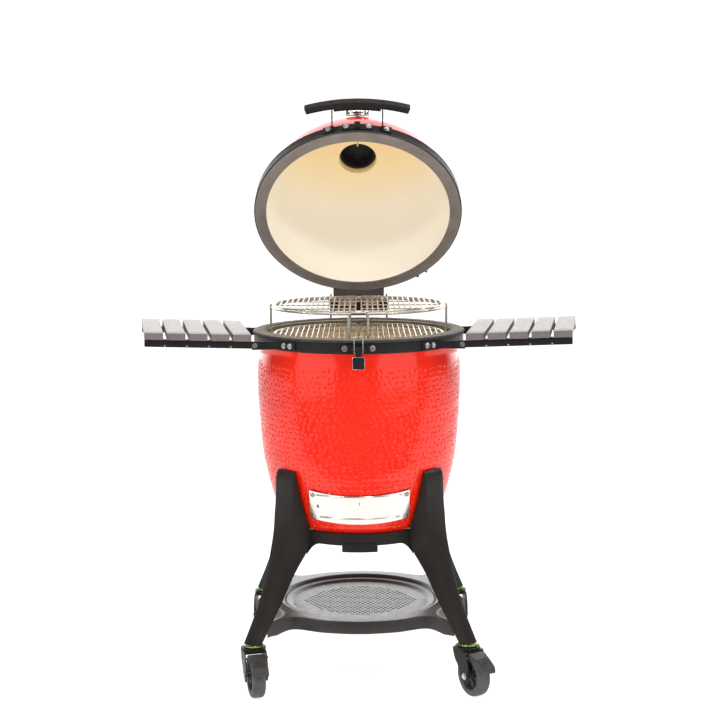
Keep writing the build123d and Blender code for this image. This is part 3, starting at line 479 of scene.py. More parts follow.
def knit():
    s = Surface("gasket_mesh", rough=0.9, Specular_IOR_Level=0.25, Sheen_Weight=0.25, Sheen_Roughness=0.5)
    around, along = s.attribute("around"), s.attribute("along")
    across = s.math("MULTIPLY", along, 2 * math.pi / 2.6)
    rows = s.math("MULTIPLY", around, 2 * math.pi / 2.2)
    zigzag = s.math("ABSOLUTE", s.math("SINE", across))
    stitch = s.math("SINE", s.math("ADD", rows, s.math("MULTIPLY", zigzag, 2.4)))
    loops = s.math("MULTIPLY", s.span(stitch, -1.0, 1.0), s.span(zigzag, 0.0, 0.5, 0.45, 1.0))
    tone = s.ramp(s.noise(22.0, 6.0), (0.3, (0.21, 0.17, 0.145)), (0.7, (0.32, 0.265, 0.23)))
    # The gaps between the loops are darkened towards near-black: painted shade in the hollows of the knit.
    s.colour(s.blend(s.span(loops, 0.0, 1.0, 0.75, 0.0), tone, (0.09, 0.074, 0.064)))
    return s.bump(s.noise(260.0, 3.0), 0.5, 0.5).bump(loops, 0.45, 0.9).material


def slat_board():
    s = Surface("slat_board", rough=0.45, Specular_IOR_Level=0.7)
    tone = s.attribute("tone")
    grain = s.noise(1.0, 6.0, 0.65, s.stretched((240.0, 9.0, 240.0)), 0.6)
    fine = s.noise(1.0, 4.0, 0.7, s.stretched((1500.0, 40.0, 1500.0)))
    base = s.ramp(grain, (0.32, (0.115, 0.097, 0.090)), (0.66, (0.185, 0.160, 0.150)))
    shade = s.blend(s.math("MULTIPLY", tone, 0.4), base, (0.095, 0.080, 0.074))
    s.colour(s.blend(s.span(fine, 0.55, 0.75, 0.0, 0.35), shade, (0.24, 0.21, 0.195)))
    s.roughness(s.span(grain, 0.3, 0.7, 0.36, 0.5))
    return s.bump(grain, 0.30, 0.5).bump(fine, 0.10, 0.5).material


def rubber(name, colour, rough=(0.55, 0.8)):
    s = Surface(name, rough=0.7, Specular_IOR_Level=0.35)
    tone = s.ramp(s.noise(45.0, 6.0), (0.3, colour), (0.75, tuple(c * 1.9 + 0.01 for c in colour)))
    scuffs = s.span(s.noise(160.0, 6.0, 0.7), 0.6, 0.75, 0.0, 0.5)
    s.colour(s.blend(scuffs, tone, (0.15, 0.14, 0.13)))
    s.roughness(s.span(s.noise(90.0), 0.3, 0.7, *rough))
    return s.bump(s.noise(700.0, 3.0), 0.10, 0.4).material


def race_zinc():
    s = Surface("race_zinc", rough=0.28, metallic=1.0)
    hue = s.ramp(s.noise(55.0, 4.0, 0.5, None, 1.2), (0.25, (0.08, 0.26, 0.06)), (0.55, (0.22, 0.36, 0.09)),
                 (0.85, (0.26, 0.24, 0.12)))
    s.colour(hue).roughness(s.span(s.noise(200.0), 0.3, 0.7, 0.2, 0.4))
    return s.bump(s.noise(500.0), 0.04, 0.4).material


def dial_face():
    s = Surface("dial_face", rough=0.45)
    s.colour(s.ramp(s.noise(60.0, 3.0), (0.3, (0.86, 0.86, 0.83)), (0.7, (0.93, 0.93, 0.91))))
    return s.bump(s.noise(1500.0), 0.01, 0.3).material


def paint(name, light, dark):
    s = Surface(name, rough=0.35)
    s.colour(s.ramp(s.noise(200.0, 4.0), (0.3, dark), (0.7, light)))
    return s.bump(s.noise(1200.0), 0.01, 0.3).material


def lens_glass():
    s = Surface("lens_glass", rough=0.02, Transmission_Weight=1.0, IOR=1.45)
    s.colour(s.ramp(s.noise(30.0), (0.3, (0.95, 0.97, 0.96)), (0.7, (1.0, 1.0, 1.0))))
    return s.bump(s.noise(40.0), 0.02, 0.2).material


RED = glaze()
CREAM = cream()
FIRE_CLAY = clay("firebrick", (0.74, 0.60, 0.42), (0.60, 0.46, 0.30))
PLATE_CLAY = clay("deflector_clay", (0.80, 0.56, 0.28), (0.72, 0.48, 0.22))
KNIT = knit()
BLACK = powder("black_powder", (0.011, 0.010, 0.010), 2.0)
# Near-black colour for the gasket's outer wrap, the faces out past r 270.
DARK_WRAP = rubber("gasket_dark_wrap", (0.020, 0.018, 0.017))
CART = powder("cart_powder", (0.014, 0.011, 0.010), 1.9, (0.34, 0.46))
TRAY = powder("tray_powder", (0.022, 0.017, 0.015), 1.8, (0.26, 0.36), gloss=0.5)
GRIP = powder("handle_powder", (0.014, 0.011, 0.010), 2.0, (0.34, 0.46), 650.0)
HINGE = powder("hinge_powder", (0.030, 0.024, 0.022), 1.8)
CAST = powder("vent_casting", (0.020, 0.019, 0.019), 2.2, (0.42, 0.60), 420.0)
IRON = powder("raw_iron", (0.060, 0.052, 0.046), 1.8, (0.6, 0.8), 350.0)
STEEL = metal("stainless_sheet", (0.86, 0.82, 0.77), (0.14, 0.26))
ROD = metal("grate_rod", (0.60, 0.545, 0.46), (0.22, 0.36), (400.0, 400.0, 400.0), 0.2)
ZINC = metal("bright_zinc", (0.66, 0.65, 0.64), (0.18, 0.32), (600.0, 600.0, 600.0), 0.2)
SPRING = metal("spring_steel", (0.45, 0.43, 0.41), (0.28, 0.45), (500.0, 500.0, 500.0), 0.3)
BEZEL = metal("bezel_steel", (0.86, 0.85, 0.83), (0.08, 0.18), (300.0, 300.0, 300.0), 0.15)
BOARD = slat_board()
TYRE = rubber("tyre_rubber", (0.050, 0.048, 0.047))
HUB = rubber("hub_nylon", (0.030, 0.028, 0.027), (0.35, 0.5))
PEDAL = rubber("pedal_nylon", (0.030, 0.027, 0.025), (0.38, 0.5))
RACE = race_zinc()
DIAL = dial_face()
NEEDLE = paint("needle_red", (0.70, 0.03, 0.02), (0.55, 0.02, 0.01))
# Near-black print for the dial; on the draft plate the same colour is painted shade in the screw slots,
# round the screw heads and in the air slit.
PRINT_AND_SHADE = paint("dial_print_and_painted_shade", (0.03, 0.03, 0.03), (0.015, 0.015, 0.015))
GLASS = lens_glass()


# ---------------------------------------------------------------- ceramic shells

COLUMNS = 960
STEP = 1.75


def dimples(rows_s, rows_r, angles, first, last, seed):
    """Depth of a pressed leaf pattern over a turned wall: 0 between the leaves, 1 in them."""
    rng = random.Random(seed)
    field = np.zeros((len(rows_s), len(angles)))
    step = rows_s[1] - rows_s[0]
    turn = angles[1] - angles[0]
    s = first
    row = 0
    while s < last:
        radius = float(np.interp(s, rows_s, rows_r))
        count = int(2 * math.pi * radius / 15.4)
        for i in range(count):
            centre_s = s + rng.uniform(-3.2, 3.2)
            centre_a = (i + 0.5 * (row % 2) + rng.uniform(-0.24, 0.24)) * 2 * math.pi / count
            angle = rng.uniform(0, math.pi)
            half_l, half_w = rng.uniform(5.6, 7.0), rng.uniform(2.5, 3.1)
            reach_i, reach_j = int(9.5 / step) + 1, int(9.5 / (radius * turn)) + 1
            mid_i = int(round((centre_s - rows_s[0]) / step))
            mid_j = int(round(centre_a / turn))
            low_i, high_i = max(0, mid_i - reach_i), min(len(rows_s), mid_i + reach_i + 1)
            if low_i >= high_i:
                continue
            cols = np.arange(mid_j - reach_j, mid_j + reach_j + 1)
            ds = rows_s[low_i:high_i, None] - centre_s
            da = (cols[None, :] * turn - centre_a) * radius
            u = (ds * math.cos(angle) + da * math.sin(angle)) / half_l
            v = (-ds * math.sin(angle) + da * math.cos(angle)) / half_w
            width = np.clip(1 - u ** 2, 0, None)
            leaf = np.clip(width - v ** 2 / np.clip(0.35 + 0.65 * width, 0.1, None), 0, None)
            leaf = np.clip(leaf, 0, 1)
            leaf = leaf * leaf * (3 - 2 * leaf)
            wrapped = cols % len(angles)
            patch = field[low_i:high_i][:, wrapped]
            field[low_i:high_i, wrapped] = np.maximum(patch, leaf)
        s += 13.0
        row += 1
    return field


def ceramic_shell(name, outer, inner, body, replaces, lid, seed, span, window=None, poles=False):
    """A turned wall: a dimpled red outside, then the way round to a cream inside."""
    outer_pts = smooth_curve(outer, STEP) if poles else np.array(outer)
    s = np.concatenate([[0], np.cumsum(np.linalg.norm(np.diff(outer_pts, axis=0), axis=1))])
    tangent = np.gradient(outer_pts, axis=0)
    tangent /= np.linalg.norm(tangent, axis=1)[:, None]
    normal = np.stack([tangent[:, 1], -tangent[:, 0]], axis=1)
    if np.sum(normal[:, 0]) < 0:
        normal = -normal
    angles = np.radians(FRONT - 180 + np.arange(COLUMNS) * 360 / COLUMNS)
    turned = np.arange(COLUMNS) * 2 * math.pi / COLUMNS
    field = dimples(s, outer_pts[:, 0], turned, span[0], span[1], seed)
    fade = np.clip((s - span[0]) / 8, 0, 1) * np.clip((span[1] - s) / 8, 0, 1)
    rng = random.Random(seed + 1)
    swell = np.zeros_like(field)
    for _ in range(9):
        k, m = rng.randint(2, 9), rng.uniform(0.008, 0.03)
        swell += rng.uniform(0.05, 0.12) * np.sin(k * turned[None, :] + m * s[:, None] * 2 * math.pi / 1.3
                                                   + rng.uniform(0, 6.28))
    swell = (swell - swell.max()) * np.clip((s - span[0]) / 30 + 0.3, 0.3, 1)[:, None]
    push = -1.5 * field * fade[:, None] + swell
    rows = len(outer_pts) + len(inner)
    pts = np.empty((rows, COLUMNS, 3))
    for i in range(len(outer_pts)):
        r = outer_pts[i, 0] + normal[i, 0] * push[i]
        pts[i, :, 0], pts[i, :, 1] = r * np.cos(angles), r * np.sin(angles)
        pts[i, :, 2] = outer_pts[i, 1] + normal[i, 1] * push[i]
    for i, (r, z) in enumerate(inner):
        k = len(outer_pts) + i
        pts[k, :, 0], pts[k, :, 1], pts[k, :, 2] = r * np.cos(angles), r * np.sin(angles), z
    flat = np.concatenate([outer_pts, np.array(inner)])
    count = len(flat)
    faces, indices = [], []
    hole_cols = range(0)
    if window:
        half = int(round(window[2] / 360 * COLUMNS))
        hole_cols = range(COLUMNS // 2 - half, COLUMNS // 2 + half)
        inside = [window[0] <= z <= window[1] for _, z in flat]
    spans = count if not poles else count - 1
    for i in range(spans):
        n = (i + 1) % count
        red = 0 if i < len(outer_pts) - 1 or n == 0 else 1
        cut = window and inside[i] and inside[n] and flat[i][0] > 100
        for j in range(COLUMNS):
            if cut and j in hole_cols:
                continue
            k = (j + 1) % COLUMNS
            faces.append((i * COLUMNS + j, i * COLUMNS + k, n * COLUMNS + k, n * COLUMNS + j))
            indices.append(red)
    if window:
        groups = [[], []]
        for i in range(count):
            if inside[i] and flat[i][0] > 100:
                groups[0 if i < len(outer_pts) else 1].append(i)
        out_rows, in_rows = (sorted(g, key=lambda i: flat[i][1]) for g in groups)
        for a, b in ((out_rows[0], in_rows[0]), (out_rows[-1], in_rows[-1])):
            for j in hole_cols:
                faces.append((a * COLUMNS + j, a * COLUMNS + j + 1, b * COLUMNS + j + 1, b * COLUMNS + j))
                indices.append(1)
        for j in (hole_cols[0], hole_cols[-1] + 1):
            loop = [i * COLUMNS + j for i in out_rows] + [i * COLUMNS + j for i in reversed(in_rows)]
            faces.append(tuple(loop))
            indices.append(1)
    pool = np.zeros((rows, COLUMNS))
    pool[:len(outer_pts)] = field * fade[:, None]
    depth = np.clip((flat[:, 1] - flat[:, 1].min()) / np.ptp(flat[:, 1]), 0, 1)
    obj = piece(name, (pts.reshape(-1, 3), faces), body, [RED, CREAM], replaces, lid,
                indices=indices, attribute=("pool", pool.ravel()), smooth=45)
    # The 'depth' attribute sets the painted glow of the cream inside: in the lid it grows towards the top
    # and the front of the shut lid, as bounced light; the base gets one even value.
    layer = obj.data.attributes.new("depth", "FLOAT", "POINT")
    co = np.empty(len(obj.data.vertices) * 3)
    obj.data.vertices.foreach_get("co", co)
    co = co.reshape(-1, 3)
    if lid:
        dy, dz = co[:, 1] * 1000 - AXIS_Y * 1000 - PIVOT_Y, co[:, 2] * 1000 - PIVOT_Z
        height = PIVOT_Z + dy * math.sin(OPEN) + dz * math.cos(OPEN)
        front = -(dy * math.cos(OPEN) - dz * math.sin(OPEN) + PIVOT_Y) / 241
        values = np.clip(0.75 * (height - RIM) / 240 + 0.45 * front, 0, 1)
    else:
        values = np.full(len(co), float(depth.mean()))
    layer.data.foreach_set("value", values.astype(np.float32))
    return obj


def base_shell():
    outer = [(255, 850), (255, 832), (259.5, 812), (262.7, 785), (262.5, 738), (261, 698)]
    outer += [(255.7, 619), (250.4, 566), (241.6, 521), (228.9, 470), (212, 423), (193, 391)]
    outer += [(160, 361), (125, 345)]
    inner = [(60, 345), (0, 345), (0, 371), (60, 371), (118, 371)]
    wall = smooth_curve([(118, 371), (160, 394), (187, 430), (204, 477), (217, 527), (225, 573),
                         (230, 623), (234, 700), (236.5, 780), (239, 850), (240, 884)], 12.0)
    inner += [tuple(p) for p in wall[1:]]
    inner += [(262, 884), (264.7, 883), (266, 880), (266, 858), (265, 855.5), (262, 854.5), (258, 853.5)]
    ceramic_shell("base_shell", outer, inner, "cart", "ceramic_base", False, 11, (34, 470),
                  (440, 484, 15), poles=True)


def dome_shell():
    outer = [(266, 896), (266, 925), (265, 927), (262, 928.5), (258.8, 929.8)]
    wall = smooth_curve([(257, 42), (251, 71), (241, 101), (220, 139), (190, 175.6), (155, 210), (110, 244),
                         (75, 263), (52, 270.4)], STEP)
    outer += [(r, RIM + z) for r, z in wall]
    low = RIM + 5
    inner = [(50.5, RIM + 270.4), (50, RIM + 268), (50, RIM + 243), (51.5, RIM + 239.5)]
    for a in np.radians(np.arange(76, -0.1, -2.0)):
        inner.append((241 * math.cos(a), low + 240 * math.sin(a)))
    inner += [(264.5, 894), (265.6, 894.6)]
    ceramic_shell("dome_shell", outer, inner, "dome", "ceramic_dome", True, 23, (46, 330))


base_shell()
dome_shell()


# ---------------------------------------------------------------- gaskets and bands

def gasket(side):
    """The felt ring in its knitted sleeve, flattened against the rim."""
    face = 0.0 if side < 0 else 0.6
    outline = [(241, 6), (241, face + 3.4), (242.4, face + 1.5), (246, face + 0.35), (253, face)]
    outline += [(260, face + 0.3), (266, face + 1.3), (270, face + 3.0), (273, face + 4.2), (273, 8.2)]
    outline += [(271.5, 9.5), (266.2, 9.5), (266.2, 6)]
    profile = rounded(outline, 1.2, 3)
    flat = [(r, RIM + side * z) for r, z in profile]
    steps = 720
    pts, faces = lathe(flat, steps)
    rows = len(flat)
    lengths = np.concatenate([[0], np.cumsum(np.linalg.norm(np.diff(np.array(flat), axis=0), axis=1))])
    turns = np.repeat(np.arange(steps) * 2 * math.pi / steps, rows)
    wobble = 0.22 * np.sin(turns * 37) + 0.15 * np.sin(turns * 83 + 1.0) - 0.37
    body_part = (pts[:, 2] - RIM) * side < 3.0
    pts[:, 2] -= np.where(body_part, side * np.abs(wobble) * -0.7, 0.0)
    name = "base_gasket_felt" if side < 0 else "dome_gasket_felt"
    if side < 0:
        skirt = lathe([(238.6, RIM - 17), (239.4, RIM - 17), (241.2, RIM - 4), (241.4, RIM - 1.4),
                       (240.6, RIM - 1.6)], steps)
        piece("base_gasket_skirt", skirt, "cart", KNIT, smooth=60)
    # The faces out past r 270, the outer wrap, take the near-black colour.
    lip = [int(flat[i][0] + flat[(i + 1) % rows][0] > 540) for i in range(rows)]
    obj = piece(name, (pts, faces), "cart" if side < 0 else "dome", [KNIT, DARK_WRAP],
                "base_gasket" if side < 0 else "dome_gasket", side > 0, smooth=60,
                indices=lip * steps, attribute=("around", turns * 257))
    layer = obj.data.attributes.new("along", "FLOAT", "POINT")
    if len(obj.data.vertices) == len(pts):
        layer.data.foreach_set("value", np.tile(lengths, steps).astype(np.float32))
    return obj


def clamp_band(name, low, deg, body, lid, replaces):
    """A steel strap with rolled edges and its two ears."""
    outline = [(266.3, low), (269.8, low), (270.7, low + 1.5), (270.2, low + 4), (270.2, low + 21.4)]
    outline += [(270.7, low + 23.9), (269.8, low + 25.4), (266.3, low + 25.4)]
    strap = lathe(rounded(outline, 0.7, 2), 300, deg + 2, 356)
    ears = []
    for turn in (2.9, -2.9):
        ear = prism(rounded([(268.5, low + 2), (287, low + 2), (287, low + 23.4), (268.5, low + 23.4)], 4),
                    -1.6, 1.6, "xzy")
        ears.append(moved(ear, lambda p, t=turn: turn_z(p, deg + t)))
    piece(name, join(strap, *ears), body, BLACK, replaces, lid, bevel=0.5)


def head_on_band(deg, z, seat):
    out = (math.cos(math.radians(deg)), math.sin(math.radians(deg)), 0)
    return placed(hex_bolt(), (seat * out[0], seat * out[1], z), out)


def clamp_screw(deg, z):
    """A screw across the ears of a band, with its nut."""
    shaft = tube([(279.5, -24, z), (279.5, 24, z)], 2.6, 14)
    head = placed(hex_bolt(4.6, 4.0, 6.0), (279.5, -16.8, z), (0, -1, 0))
    nut = placed(hex_bolt(4.6, 4.0, 6.0), (279.5, 16.8, z), (0, 1, 0))
    return moved(join(shaft, head, nut), lambda p: turn_z(p, deg))


SEAT = 274.5
BASE_CLAMP, DOME_CLAMP = 52.0, 52.0
SHELF_TURN = 9.3
base_places = [(FRONT + d, 866.3, SEAT) for d in (-7, 7)] + [(90 + d, 866.3, SEAT) for d in (-11, 11)]
base_places += [(side + d, 866.3, SEAT) for side in (-SHELF_TURN, 180 + SHELF_TURN)
                for d in (-42.9, -38.6, 38.6, 42.9)]
dome_places = [(FRONT + d, 912.7, SEAT) for d in (-6, 6, -15.5, 15.5)]
dome_places += [(90 + d, 912.7, SEAT) for d in (-11, 11)]

gasket(-1)
gasket(1)
clamp_band("base_strap", 853.6, BASE_CLAMP, "cart", False, "base_band")
clamp_band("dome_strap", 900.0, DOME_CLAMP, "dome", True, "dome_band")
base_heads = [head_on_band(*place) for place in base_places]
base_heads += [clamp_screw(BASE_CLAMP, 861.6), clamp_screw(BASE_CLAMP, 871.0)]
piece("base_bolt_heads", join(*base_heads), "cart", ZINC, "base_bolts", bevel=0.25, segments=2)
dome_heads = [head_on_band(*place) for place in dome_places]
dome_heads += [clamp_screw(DOME_CLAMP, 908), clamp_screw(DOME_CLAMP, 917.4)]
piece("dome_bolt_heads", join(*dome_heads), "dome", ZINC, "dome_bolts", lid=True, bevel=0.25,
      segments=2)


# ---------------------------------------------------------------- grates and rack

def arc_points(radius, z, start, end, step=4.0):
    count = max(2, int(abs(end - start) / step) + 1)
    return [(radius * math.cos(a), radius * math.sin(a), z)
            for a in np.radians(np.linspace(start, end, count))]


def grate(side, level, top):
    """Half a round grate: rods laid front to back on three cross rods, in a bent rim."""
    rods = []
    edge = 7.5
    half = math.degrees(math.acos(edge / 217.3))
    rim = arc_points(217.6, top - 2.1, -half, half, 3.0)
    corner = [(edge, 210, top - 2.1), (edge, -210, top - 2.1)]
    rods.append(tube(rim + corner, 2.1, 12, True))
    count = int(207 / 13.8)
    for i in range(1, count + 1):
        x = edge + 13.8 * i
        y = math.sqrt(216.5 ** 2 - x ** 2) if x < 216 else 0
        if y > 12:
            rods.append(tube([(x, -y, top - 2.0), (x, y, top - 2.0)], 1.9, 12))
    for y in (-100, 0, 100):
        reach = math.sqrt(214 ** 2 - y ** 2)
        rods.append(tube([(edge, y, top - 5.6), (reach - 4, y, top - 5.6), (reach, y, top - 4.2)], 1.8, 12))
    shape = join(*rods)
    if side < 0:
        shape = (shape[0] * np.array([-1, 1, 1]), [tuple(reversed(f)) for f in shape[1]])
    name = "left" if side < 0 else "right"
    piece(f"{level}_grate_{name}_rods", shape, f"{level}_grate_{name}", ROD,
          f"{level}_grate_{name}", smooth=60)


def rack():
    """The wire rack: three hoops, six posts and the cross rods under the deflectors."""
    parts = [tube(arc_points(222, 944.6, 0, 357), 3.0, 12, True),
             tube(arc_points(222, 870.6, 0, 357), 3.0, 12, True)]
    parts.append(tube(arc_points(212, 841.4, 0, 357), 3.0, 12, True))
    for side in (-1, 1):
        x = side * 226.5
        post = bent([(side * 206, 0, 841.4), (x, 0, 841.4), (x, 0, 950.3)], 9)
        parts.append(tube(post, 3.0, 12))
        y = side * math.sqrt(226.5 ** 2 - 23.5 ** 2)
        arch = [(-23.5, y * 0.905, 841.4), (-23.5, y, 841.4), (-23.5, y, 947.4), (23.5, y, 947.4),
                (23.5, y, 841.4), (23.5, y * 0.905, 841.4)]
        parts.append(tube(bent(arch, 11, 6), 3.0, 12))
        half = math.sqrt(212 ** 2 - 100 ** 2) + 3
        parts.append(tube([(-half, side * 100, 841.8), (half, side * 100, 841.8)], 2.6, 12))
    piece("rack_wires", join(*parts), "rack", ROD, "rack_frame", smooth=60)


def deflectors():
    """Two half-moon ceramic plates with a finger notch each."""
    halves = []
    for side in (-1, 1):
        half = math.degrees(math.acos(3 / 200))
        rim = [(200 * math.cos(a), 200 * math.sin(a)) for a in np.radians(np.linspace(-half, half, 60))]
        notch = [(3, 26), (10, 20), (13, 8), (13, -8), (10, -20), (3, -26)]
        outline = [(side * x, y) for x, y in rim + notch]
        halves.append(prism(outline, 844.6, 856.4, "xyz"))
    piece("deflector_plates", join(*halves), "rack", PLATE_CLAY, "heat_deflectors", bevel=1.6)


for side in (-1, 1):
    grate(side, "lower", 878.2)
    grate(side, "upper", 952.2)
rack()
deflectors()


# ---------------------------------------------------------------- cart

LEGS = {"front_left": -136.5, "front_right": -43.5, "rear_right": 43.5, "rear_left": 136.5}


def leg_shape(deg):
    """A pressed leg: a broad rounded face and two flanges that reach in to the ceramic."""
    face = smooth_curve([(384, 128), (354, 183), (328, 233), (307, 283), (290, 333), (273, 383),
                         (264, 433), (260, 483), (259.5, 520), (257.5, 540), (252, 549.5)], 9.0)
    back = smooth_curve([(354, 128), (299, 203), (251, 280), (225, 317), (213, 333), (204, 362),
                         (204, 391), (209.5, 407), (223.5, 438), (239.5, 491), (249, 536), (250.5, 547)],
                         5.0)
    widths = np.array([(128, 37), (183, 36), (233, 40), (283, 43), (333, 53), (383, 65), (433, 73),
                       (483, 71), (530, 69), (545, 64), (552, 56)], float)
    levels = np.concatenate([np.linspace(128, 535, 60), [538, 541, 543.5, 545.5, 547, 548.2]])
    order_b = np.argsort(back[:, 1])
    order_f = np.argsort(face[:, 1])
    sections = []
    for z in levels:
        rf = float(np.interp(z, face[order_f, 1], face[order_f, 0]))
        rb = float(np.interp(z, back[order_b, 1], back[order_b, 0]))
        rb = min(rb, rf - 4)
        w = float(np.interp(z, widths[:, 0], widths[:, 1])) / 2
        soft = min(4.0, w * 0.45, (rf - rb) * 0.45)
        outline = []
        for a in np.radians(np.linspace(0, 90, 7)):
            outline.append((rf - soft + soft * math.cos(math.pi / 2 - a) * 1.0,
                            w - soft + soft * math.sin(math.pi / 2 - a)))
        outline = [(rb, w)] + outline
        crown = 1.2 * min(1, (rf - rb) / 30)
        middle = [(rf + crown * (1 - (y / (w - soft)) ** 2), y)
                  for y in np.linspace(w - soft, soft - w, 7)[1:-1]]
        right = outline + middle + [(r, -y) for r, y in reversed(outline)]
        wall = 3.0
        inner = [(rb, -w + wall), (rf - wall - soft * 0.5, -w + wall), (rf - wall, -w + wall + soft * 0.6),
                 (rf - wall, w - wall - soft * 0.6), (rf - wall - soft * 0.5, w - wall), (rb, w - wall)]
        inner = [(max(r, rb), y) for r, y in inner]
        sections.append([(r, y, z) for r, y in right + inner])
    count = len(sections[0])
    pts = np.array([p for section in sections for p in section])
    faces = []
    for i in range(len(sections) - 1):
        for k in range(count):
            n = (k + 1) % count
            faces.append((i * count + k, (i + 1) * count + k, (i + 1) * count + n, i * count + n))
    faces.append(tuple(range(count)))
    faces.append(tuple((len(sections) - 1) * count + k for k in reversed(range(count))))
    shape = (pts, faces)
    cap_z, cap_r = 548.2, float(np.interp(548.2, face[order_f, 1], face[order_f, 0]))
    cap = block((250.2, -27, cap_z - 2.5), (cap_r - 0.5, 27, cap_z))
    foot = prism(rounded([(357, -17.5), (383, -17.5), (383, 17.5), (357, 17.5)], 5), 128.2, 132.5, "xyz")
    return moved(join(shape, cap, foot), lambda p: turn_z(p, deg))


def cart():
    for name, deg in LEGS.items():
        piece(f"leg_{name}_pressing", leg_shape(deg), "cart", CART, f"leg_{name}",
              bevel=0.7, smooth=35,
              segments=2)
    outline = [(199, 361), (203, 361), (203.6, 362), (203.6, 389.4), (202.4, 391), (195, 391), (195, 388),
               (199, 388)]
    parts = [lathe(rounded(outline, 0.8, 2), 240)]
    for deg in LEGS.values():
        for side in (-1, 1):
            grid, rows, cols = [], 9, 14
            for i in range(rows):
                for j in range(cols):
                    t = j / (cols - 1)
                    low = 361.4 - 33 * (1 - t) ** 2.2
                    z = low + (362.5 - low) * i / (rows - 1)
                    ang = deg + side * (5.4 + 12.5 * t)
                    r = 203.4 + (362 - z) * 0.10 * (1 - t)
                    grid.append((r * math.cos(math.radians(ang)), r * math.sin(math.radians(ang)), z))
            faces = [(i * cols + j, i * cols + j + 1, (i + 1) * cols + j + 1, (i + 1) * cols + j)
                     for i in range(rows - 1) for j in range(cols - 1)]
            grid = np.array(grid)
            inner = grid.copy()
            scale = (np.linalg.norm(grid[:, :2], axis=1) - 3)[:, None] / np.linalg.norm(grid[:, :2],
                    axis=1)[:, None]
            inner[:, :2] *= scale
            n = len(grid)
            rim = list(range(cols)) + [i * cols + cols - 1 for i in range(1, rows)]
            rim += [(rows - 1) * cols + j for j in reversed(range(cols - 1))]
            rim += [i * cols for i in reversed(range(1, rows - 1))]
            sides = [(a, b, b + n, a + n) for a, b in zip(rim, rim[1:] + rim[:1])]
            parts.append((np.vstack([grid, inner]),
                          faces + [tuple(k + n for k in reversed(f)) for f in faces] + sides))
    piece("cart_hoop", join(*parts), "cart", CART, "cart_ring", smooth=45)
    outline = rounded([(203.7, 345), (206.0, 345), (206.0, 368), (203.7, 368)], 0.7, 2)
    border = [lathe(outline, 40, FRONT - 12.5, 25)]
    for low, high in ((346.6, 347.4), (365.6, 366.4)):
        border.append(lathe([(205.9, low), (206.4, low), (206.4, high), (205.9, high)], 40, FRONT - 11.6,
                            23.2))
    for d in (-11.8, 11.0):
        border.append(lathe([(205.9, 346.6), (206.4, 346.6), (206.4, 366.4), (205.9, 366.4)], 2,
                            FRONT + d, 0.4))
    piece("blank_badge", join(*border), "cart", BLACK, "ring_plaque", bevel=0.25, segments=2)
    soften("cart_bolts", "cart", ZINC, 0.4)


